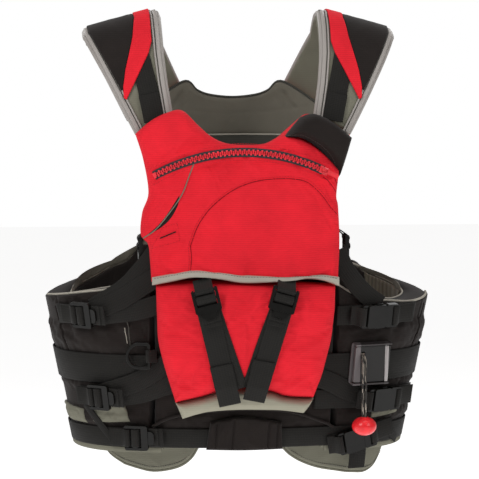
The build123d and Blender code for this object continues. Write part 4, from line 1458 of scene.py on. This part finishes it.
def lower_pouch():
    """The belly pouch, sewn along its sides, with a grey gathered foot."""
    chart = lambda pts: unroll(pts, off=30)
    grid = between(
        chart([(-90, 105), (-50, 115), (-12, 127), (30, 120), (52, 113), (88, 110)]),
        chart([(88, 110), (98, 138), (105, 166), (110, 190), (113, 222), (115, 256)]),
        chart([(-116, 258), (-60, 263), (0, 260), (60, 260), (115, 256)]),
        chart([(-90, 105), (-102, 143), (-109, 168), (-113.5, 191), (-115, 222), (-116, 258)]),
        (170, 120),
    )
    pressed_lines = POUCH_STRAPS + [((-28, 190), (-8, 132)), ((20, 190), (0, 132))]
    straps = [chart([a, b]) for a, b in pressed_lines]

    def shape(s, z, d):
        pressed = np.zeros_like(s)
        for (s0, z0), (s1, z1) in straps:
            ds, dz = s1 - s0, z1 - z0
            t = np.clip(((s - s0) * ds + (z - z0) * dz) / (ds**2 + dz**2), 0, 1)
            gap = np.hypot(s - s0 - t * ds, z - z0 - t * dz)
            pressed = np.maximum(pressed, np.clip((26 - gap) / 12, 0, 1))
        soft = 2.4 * folds(s, z, 44, 1.6, 70, 101) + 1.2 * folds(s, z, 19, 2.6, 30, 103)
        soft += 0.5 * folds(s, z, 9, 3, -15, 107)
        mouth = -11 * np.clip((z - 238) / 20, 0, 1)
        belly = 3.2 * np.exp(-((s / 95) ** 2) - (((z - 178) / 48) ** 2))
        pull = -3.2 * np.exp(-(((z - 134) / 16) ** 2)) * np.abs(s / 95)
        low_corners = np.exp(-(((np.abs(s) - 70) / 28) ** 2) - (((z - 136) / 22) ** 2))
        corner = 1.9 * folds(s, z, 12, 3, 62, 109) * low_corners
        free = soft + belly + pull + corner - 2.0
        return mouth * (1 - 0.6 * pressed) + free * (1 - pressed) - 0.9 * pressed

    pouch = pillow(
        "lower_pouch_soft", grid, POUCH_BED, 44, 20, look("red_fabric"), shape,
        held=along_lines(straps, 15), slack=0.04,
    )
    piece(pouch, "red_fabric", stands_for=["lower_pouch"], padded=0.8)
    trim_grid = between(
        chart([(-81, 84), (-62, 90), (-43, 94), (-10, 96), (25, 95.5), (50, 94), (76, 90)]),
        chart([(76, 90), (83, 99), (90, 111)]),
        chart([(-91, 107), (-50, 117), (-12, 129), (30, 122), (52, 115), (90, 111)]),
        chart([(-81, 84), (-86, 96), (-91, 107)]),
        (130, 46),
    )
    # Painted light: the pouch's foot uses the brighter painted copy of the grey trim.
    trim = pillow(
        "pouch_trim_soft", trim_grid, POUCH_BED, 34.5, 11, look("grey_trim_painted_lit"),
        lambda s, z, d: 0.9 * folds(s, z, 22, 1.5, 75, 113) + 0.10 * (z - 110),
    )
    piece(trim, "grey_trim", stands_for=["pouch_trim"], padded=0.5)
    seam = chart([(-86, 109), (-50, 118.5), (-12, 130.5), (30, 123.5), (52, 116.5), (84, 113.5)])
    piece(laid_stitches("pouch_trim_stitches", pouch, seam, look("dark_red_thread_and_seam_shade")), "red_fabric")
    made = []

    def strap(route, off, count, bend, lean, width, thick):
        """Webbing down the pouch, which leans in by a slope below the height of its bend."""
        line = lift(unroll(route, off=44), off, count)
        line[:, 2] += np.where(line[:, 1] < bend, (line[:, 1] - bend) * lean, 0)
        line[:, 2] += np.where(line[:, 1] > 236, (236 - line[:, 1]) * 0.3, 0)
        made.append(ribbon("pouch_strap", line, width, thick, look("webbing")))

    middle = lambda a, b: ((a[0] + b[0]) / 2, (a[1] + b[1]) / 2)
    for a, b in POUCH_STRAPS:
        strap([a, middle(a, b), b], 45.0, 50, 130, 0.28, 25, WEBBING_THICK)
    strap([(-45, 236), (-30, 190), (-9, 129)], 44.0, 40, 140, 0.1, 17, 1.2)
    strap([(37, 236), (21, 190), (2, 130)], 43.6, 40, 140, 0.1, 17, 1.2)
    for a, b in (((-33.5, 159), (-21, 107)), ((20, 164), (8, 112))):
        strap([a, middle(a, b), b], 46.6, 30, 130, 0.28, 26.5, WEBBING_THICK)
    piece(join("pouch_straps_woven", made), "webbing", stands_for=["pouch_straps"])


def belt_tunnel():
    """The black tunnel over the hem belt, with pleats and the arc of piping above it."""
    chart = lambda pts: unroll(pts, off=7)
    grid = between(
        chart([(-48, 42), (0, 41), (50, 42)]), chart([(50, 42), (48, 78)]),
        chart([(-43, 79), (-2, 86), (48, 78)]), chart([(-48, 42), (-43, 79)]), (90, 50),
    )

    def shape(s, z, d):
        pleats = sum(near_line(s, z, chart([(x, 44), (x + 2, 82)]), 1.6) for x in (-45, -36, -15, 30, 41))
        return -2.6 * pleats + 0.8 * folds(s, z, 16, 2, 80, 127)

    tunnel = pillow("belt_tunnel_soft", grid, 2.6, 8.6, 4, look("black_fabric"), shape)
    piece(tunnel, "black_fabric", stands_for=["belt_tunnel"], padded=0.5)
    arc = chart([(-116, 72), (-93, 84), (-50, 92), (5, 95), (58, 91), (102, 76), (116, 68)])
    fold = tube("hem_arc", chart_line(arc, 2.4, 90), 2.6, look("black_fabric"), flat=0.7)
    piece(fold, "black_fabric")


# ---------------------------------------------------------------- belts and webbing
def hoop(name, z, width, off):
    """Webbing all round the vest."""
    runs = np.linspace(-HALF_RUN, HALF_RUN, 420, endpoint=False)
    sway = 0.5 * noise(runs / 90, runs * 0, 131)
    line = np.column_stack([runs, z + sway, np.full_like(runs, off)])
    return ribbon(name, line, width, WEBBING_THICK, look("webbing"), closed=True)


def laid(name, route, off, width=25):
    """Webbing that lies on the front along front view points."""
    line = lift(unroll(route, off=3), off, 60)
    return ribbon(name, line, width, WEBBING_THICK, look("webbing"))


def belts():
    """The two belts, the webbing of the wings, the hem's tails and trim, and the grey patches."""
    piece(hoop("rescue_belt_woven", 146, 38, 0.8), "webbing", stands_for=["rescue_belt"])
    piece(hoop("hem_belt_woven", 56.5, 25, 0.8), "webbing", stands_for=["hem_belt"])
    upper = [laid(f"wing_run_{n}", route, 0.8) for n, route in enumerate([
        [(-234, 213), (-213, 215), (-180, 217)],
        [(-205, 109), (-192, 109), (-160, 106)],
        [(116, 214), (150, 214.5), (200, 214.5), (222, 214)],
        [(90, 106), (130, 105), (184, 104.5), (222, 103)],
    ])]
    runs = [
        [(-108, 300), (-128, 274), (-152, 249), (-190, 224)],
        [(-100, 272), (-128, 254), (-156, 236), (-196, 217)],
        [(-104, 232), (-140, 222), (-196, 214)],
        [(116, 296), (128, 270), (150, 243), (172, 226)],
    ]
    for n, route in enumerate(runs):
        upper.append(laid(f"side_run_{n}", route, 2.4 + 0.9 * (n % 3 == 1)))
    upper.append(laid("side_run_low_left", [(-70, 138), (-100, 128), (-135, 116), (-180, 109)], 2.6, 29))
    upper.append(laid("side_run_mid_left", [(-84, 165), (-110, 146), (-140, 128), (-184, 111)], 3.6))
    upper.append(laid("side_run_low_right", [(84, 138), (110, 128), (135, 115), (168, 105)], 2.6))
    piece(join("wing_webbing", upper), "webbing", stands_for=["wing_straps"])
    thin = [
        laid("thin_left", [(-199, 98), (-186, 80), (-166, 55)], 3.2, 11),
        laid("thin_right", [(185, 68), (193, 56), (201, 44)], 3.2, 11),
        laid("tail_right", [(148, 46), (148, 30), (147, 12)], 3.4),
    ]
    piece(join("hem_tails", thin), "webbing")
    panels = []
    for n, pts in enumerate((
        [(-217, 71), (-196, 71), (-202, 90), (-226, 93)],
        [(-188, 73), (-141, 76), (-153, 104), (-195, 90)],
        [(164, 76), (200, 80), (206, 92), (164, 90)],
    )):
        a, b, c, d = [unroll([p], off=2)[0] for p in pts]
        grid = between([a, b], [b, c], [d, c], [a, d], (36, 22))
        wing_under = "left_wing_shell" if a[0] < 0 else "right_wing_shell"
        panels.append(laid_panel(f"grey_patch_{n}", grid, wing_under, look("grey_trim")))
    piece(join("grey_patches", panels), "grey_trim", padded=0.2)
    hem = []
    for k in (-1, 1):
        rim = [(k * 112, 41), (k * FRONT_RUN, 40.5), (k * 240, 41), (k * SIDE_MIDDLE, 42)]
        hem.append(ribbon(f"hem_rim_{k}", lift(rim, -0.5, 80), 7, 2.2, look("grey_trim")))
        hem.append(tube(f"hem_bead_{k}", chart_line(rim, -16, 80), 2.2, look("grey_trim")))
    piece(join("hem_trim", hem), "grey_trim")
    pocket_edge = []
    for line, radius, stuff in (
        (unroll([(-149, 212), (-146, 200), (-143, 176)], off=3), 0.7, "shadow_edge"),
        (unroll([(-151, 200), (-149, 190), (-147, 180)], off=3), 0.5, "binding"),
        ([(-262, 222), (-258, 200), (-252, 170)], 0.8, "black_fabric"),
        ([(262, 222), (258, 200), (252, 170)], 0.8, "black_fabric"),
    ):
        shell = bpy.data.objects["left_wing_shell" if line[0][0] < 0 else "right_wing_shell"]
        dense = smooth_line(line, 40)
        heights = surface_height(shell, dense, 2) + 0.4 * radius
        pocket_edge.append(tube("pocket_edge", spot(dense[:, 0], dense[:, 1], heights), radius, look(stuff)))
    piece(join("side_pocket_edges", pocket_edge), "binding")


def seat(x, z, off, turn=0.0, back=False):
    """A frame on the torso: x level along the webbing, z out, turned about z."""
    s = unroll([(x, z)], off=off)[0][0]
    place = behind if back else spot
    origin = Vector(place(s, z, off))
    out = Vector(place(s, z, off + 1)) - origin
    level = Vector((out.x, out.y, 0)).normalized()
    slope = -TAPER_DOWN if z < WIDEST else TAPER_UP
    normal = (level + Vector((0, 0, slope))).normalized()
    run = Vector((0, 0, 1)).cross(normal).normalized()
    run.rotate(Matrix.Rotation(math.radians(turn), 3, normal))
    return axes(origin, run, normal)


def axes(origin, x_dir, z_dir):
    """The frame with an origin and two of its directions."""
    y_dir = z_dir.cross(x_dir)
    return Matrix([[x_dir[i], y_dir[i], z_dir[i], origin[i]] for i in range(3)] + [[0, 0, 0, 1]])


def strap_path(name, place, path, width, thick=WEBBING_THICK):
    """Webbing whose run lies in a frame's x and z, and whose width lies along y."""
    count = 70
    line = smooth_line(path, count)
    run = np.gradient(line, axis=0)
    run /= np.linalg.norm(run, axis=1)[:, None]
    normal = np.stack([-run[:, 1], run[:, 0]], axis=1)
    along = distances(line)
    profile = tape_profile(width, TAPE_CORNER)
    points, uvs = [], []
    for i in range(count):
        for across, up in profile:
            p = line[i] + normal[i] * ((up - 0.5) * thick)
            points.append(place @ Vector((p[0], across, p[1])))
            uvs.append((along[i] * MM, across * MM))
    return add_mesh(name, points, sweep_faces(count, len(profile)), look("webbing"), uvs=uvs)


LOCK_LIFT = 4.6
BUCKLE_LIFT = 4.8
# The runs of webbing round the bars, along the webbing and out from the vest.
LOOP_PATH = [
    (-24, -3.0), (-12, -3.1), (-5, -2.8), (-2.4, -1.9), (2.0, -2.7), (3.4, 0),
    (2.0, 2.8), (-1.4, 3.2), (-4.6, 0.6), (-9, -1.2), (-22, -1.4),
]
TUCKED_LOOP = [
    (-15, -18), (-10, -11.5), (-5.6, -6.2), (-2.8, -3.4), (1.8, -2.9), (3.4, 0),
    (2.0, 2.8), (-1.4, 2.8), (-4.8, -1.2), (-9, -7.4), (-14, -15.5),
]
THREAD_PATH = [
    (46, -3.6), (30, -3.9), (16, -3.9), (8, -3.2), (6.0, -0.4), (7.0, 2.9),
    (10.4, 3.9), (13.4, 3.2), (15.4, 0.2), (17.4, -2.6), (24, -3.0), (40, -2.2),
]
PLUG_PATH = [
    (46, -3.2), (30, -2.6), (18, -1.4), (11.6, -0.4), (10.8, 4.8), (11.8, 9.2),
    (15.2, 9.9), (18.6, 7.6), (21, 2.2), (28, 0.0), (44, -1.2),
]
SOCKET_PATH = [
    (-45, -3.0), (-38, -2.2), (-32, -0.8), (-28.6, 1.2), (-28.2, 6.4), (-29.6, 9.0),
    (-32.4, 9.3), (-35.6, 7.0), (-38.6, 2.0), (-42, -0.2), (-46, -1.1),
]
RING_LOOP = [
    (-9, -3.3), (-4.5, -3.4), (-1, -3.9), (2.6, -3.0), (3.9, 0), (2.6, 3.0),
    (-0.6, 3.9), (-4.4, 1.6), (-9, -1.6),
]
TOW_LOOP = [
    (-24, -4.2), (-10, -4.2), (-1, -3.9), (2.6, -3.0), (3.9, 0), (2.6, 3.0),
    (-0.6, 3.9), (-5.4, 1.0), (-10, -1.6), (-23, -2.4),
]


def lock_webbing(node, place, loop=LOOP_PATH, thread=THREAD_PATH):
    """The loop sewn round a lock's anchor bar, and the webbing threaded over its middle bar."""
    piece(strap_path(node + "_loop", place, loop, 23), "webbing")
    piece(strap_path(node + "_thread", place, thread, 24), "webbing", body=node)


def hardware():
    """The webbing in the locks and buckles, and the tabs of the two rings."""
    for row, x, z in (("top", -213, 215), ("middle", -192, 109), ("low", -147, 57.5)):
        lock_webbing(f"ladder_lock_{row}", seat(x, z, 4.2 + LOCK_LIFT))
    for node, x, z, turn in (("left_pouch_lock", -55, 253, -76), ("right_pouch_lock", 46, 253, -106)):
        lock_webbing(node, seat(x, z, 46.2 + LOCK_LIFT, turn), TUCKED_LOOP)
    for node, x in (("left_shoulder_lock", -130), ("right_shoulder_lock", 130)):
        place = axes(Vector((x, -99, 311)), Vector((0, 0, -1)), Vector((math.copysign(1, x), 0, 0)))
        lock_webbing(node, place, TUCKED_LOOP, THREAD_PATH[3:])
    for node, x, z, turn in (("top", 176, 214, 0), ("middle", 184, 104, 0), ("low", 152, 55, 14)):
        place = seat(x, z, BUCKLE_LIFT, turn)
        piece(strap_path(f"plug_webbing_{node}", place, PLUG_PATH, 24), "webbing")
        socket_webbing = strap_path(f"socket_webbing_{node}", place, SOCKET_PATH, 24)
        piece(socket_webbing, "webbing", body=f"buckle_socket_{node}")
    side = seat(-120, 165, 2.2 + LOCK_LIFT + 1.8)
    level = Vector((side[0][2], side[1][2], 0)).normalized()
    tether = axes(side.translation, -side.col[0].to_3d(), level)
    tabs = [strap_path("tether_tab", tether, RING_LOOP, 16, 1.4)]
    tow_at = seat(0, 167, 2.2 + LOCK_LIFT, back=True).translation
    tow = axes(tow_at, Vector((0, 0, -1)), Vector((0, 1, 0)))
    lean = Matrix.Rotation(math.atan(TAPER_DOWN), 4, "Y")
    tabs.append(strap_path("tow_tab", tow @ lean, TOW_LOOP, 16, 1.4))
    piece(join("ring_tab_webbing", tabs), "webbing", stands_for=["ring_tabs"])


BUCKLE_PARTS = ("buckle_socket", "prong_upper", "prong_lower")
HARDWARE = [
    "ladder_lock_top", "ladder_lock_middle", "ladder_lock_low", "left_pouch_lock", "right_pouch_lock",
    "left_shoulder_lock", "right_shoulder_lock", "buckle_plugs", "tether_ring", "tow_ring",
    "release_frame", "release_lever", "zipper_slider", "zipper_pull",
]
HARDWARE += [f"{kind}_{row}" for kind in BUCKLE_PARTS for row in ("top", "middle", "low")]


def round_edges():
    """Moulded edges on the hardware that stays as the frame has it."""
    for node in HARDWARE:
        obj = frame["nodes"][node]
        weld = obj.modifiers.new("weld", "WELD")
        weld.merge_threshold = 0.00001
        bevel = obj.modifiers.new("rounding", "BEVEL")
        bevel.width = 0.0004 if "zipper" in node else 0.0007
        bevel.segments = 3
        bevel.limit_method = "ANGLE"
        bevel.angle_limit = math.radians(35)
        bevel.harden_normals = True


# ---------------------------------------------------------------- shoulder straps
def densify(points, step=4):
    """Points at most a step apart along straight runs."""
    out = []
    for (x0, z0), (x1, z1) in zip(points, points[1:]):
        n = max(int(math.hypot(x1 - x0, z1 - z0) / step), 1)
        out += [(x0 + (x1 - x0) * i / n, z0 + (z1 - z0) * i / n) for i in range(n)]
    return out + [points[-1]]


def strap_edge(front, back):
    """A chart line up a strap's front and down its back, from front view points."""

    def below_top(points):
        height = lambda x, z: x * math.sin(STRAP_SLOPE) + z * math.cos(STRAP_SLOPE)
        return [p for p in densify(points) if height(*p) < ARCH_BASE + 0.985 * ARCH_RISE]

    return strap_chart(below_top(front)) + strap_chart(below_top(back), back=True)[::-1]


# The straps' two edges, each up the front and down the back, seen from the front.
INNER = ([(90, 464), (97, 508), (101, 544), (105, 620)], [(70, 500), (86, 534), (103, 571), (105, 620)])
OUTER = ([(134, 442), (168, 508), (203, 574), (203, 620)], [(138, 452), (166, 508), (199, 574), (199, 620)])


def inset(edge, by):
    """A strap edge moved across the strap."""
    return [(a + by, b) for a, b in edge]


def shoulder(side, name):
    """One shoulder pad. Returns the beads and tapes along its edges, and the dark gaps beside them."""
    place = over(side)
    inner, outer = strap_edge(*INNER), strap_edge(*OUTER)
    grid = between([inner[0], outer[0]], outer, [inner[-1], outer[-1]], inner, (60, 200))

    def shape(s, z, d):
        seams = dent(s, z, inset(inner, 9), 1.4, 1.0) + dent(s, z, inset(outer, -9), 1.4, 1.0)
        return 0.8 * folds(s, z, 24, 2.4, 90, 141 + side) + seams

    pad = pillow(name + "_soft", grid, -13.4, -0.6, 5.5, look("grey_trim"), shape, place, under=1.6)
    piece(pad, "grey_trim", stands_for=[name], padded=0.7)
    parts = []
    for edge, k in ((inner, 1), (outer, -1)):
        bead = smooth_line(edge, 220)
        rail = place(bead[:, 0] + k * 1.4, bead[:, 1], -4.4)
        parts.append(tube("edge", rail, 3.4, look("piping"), sides=10))
        flat = np.column_stack([smooth_line(inset(edge, k * 4.0), 220), np.full(220, -0.6)])
        parts.append(ribbon("flat", flat, 5.2, 1.5, look("piping"), place))
        fine = smooth_line(inset(edge, k * 9.0), 220)
        parts.append(tube("fine", place(fine[:, 0], fine[:, 1], 0.9), 1.25, look("piping"), sides=8))
    dark = []
    for edge, k in ((inner, 1), (outer, -1)):
        gap = np.column_stack([smooth_line(inset(edge, k * 7.1), 220), np.full(220, -0.4)])
        dark.append(ribbon("gap", gap, 2.0, 1.0, look("shadow_edge"), place))
    return parts, dark


def strap_tape(name, side, line, count, off, width):
    """Webbing along a line on one strap."""
    raised = np.column_stack([smooth_line(line, count), np.full(count, off)])
    return ribbon(name, raised, width, WEBBING_THICK, look("webbing"), over(side))


def strap_cover(name, side, left, right, off, material, seed, slim=1.5):
    """Thin cloth between two lines on one strap."""
    grid = between([left[0], right[0]], right, [left[-1], right[-1]], left, (30, 130))
    shape = lambda s, z, d: 0.35 * folds(s, z, 18, 2.4, 80, seed)
    return pillow(name, grid, off, off + slim, 1.2, material, shape, over(side))


def shoulders():
    """The two pads with their piping, webbing, black yokes and red stripes."""
    piping, dark, woven, yokes, stripes = [], [], [], [], []
    run = strap_edge([(112, 460), (120, 500), (134, 560), (146, 620)], [(122, 478), (134, 560), (146, 620)])
    fold = strap_chart(densify([(112, 458), (115, 474), (118.5, 491)]))
    seam = strap_edge(
        [(150, 500), (147, 520), (137, 560), (133, 590), (133, 620)],
        [(122, 484), (130, 520), (133, 560), (133, 620)],
    )
    rim = strap_edge(
        [(152, 494), (170, 528), (194, 572), (194, 620)],
        [(140, 468), (165, 510), (194, 572), (194, 620)],
    )
    tip = strap_edge(
        [(146, 484), (132, 512), (117, 542), (113, 556), (114, 596), (114, 620)], [(112, 580), (112, 620)]
    )
    outside = strap_edge(
        [(149.5, 486), (150, 500), (147, 520), (137, 560), (133, 590), (133, 620)], [(133, 580), (133, 620)]
    )
    for side, name in ((1, "right_shoulder_pad"), (-1, "left_shoulder_pad")):
        parts, gaps = shoulder(side, name)
        piping += parts
        dark += gaps
        woven.append(strap_tape("run", side, run, 160, 0.5, 25))
        woven.append(strap_tape("fold", side, fold, 30, 2.1, 25.6))
        yokes.append(strap_cover("yoke", side, seam, rim, 1.7, look("black_fabric"), 151))
        stripes.append(strap_cover("stripe", side, tip, outside, 2.4, look("red_fabric"), 157, slim=1.6))
    piece(join("shoulder_piping_beads", piping), "piping", stands_for=["shoulder_piping"])
    piece(join("shoulder_piping_gaps", dark), "black_fabric")
    piece(join("shoulder_webbing_woven", woven), "webbing", stands_for=["shoulder_webbing"])
    piece(join("shoulder_yokes_soft", yokes), "black_fabric", stands_for=["shoulder_yokes"], padded=0.3)
    piece(join("shoulder_stripes_soft", stripes), "red_fabric", stands_for=["shoulder_stripes"], padded=0.2)


dress_frame()
wing(1, "right_wing", 201)
wing(-1, "left_wing", 211)
front_panel()
back_panel()
lobes()
chest_pocket()
pocket_lip()
shoulder_band()
lower_pouch()
belt_tunnel()
zipper()
belts()
hardware()
round_edges()
shoulders()
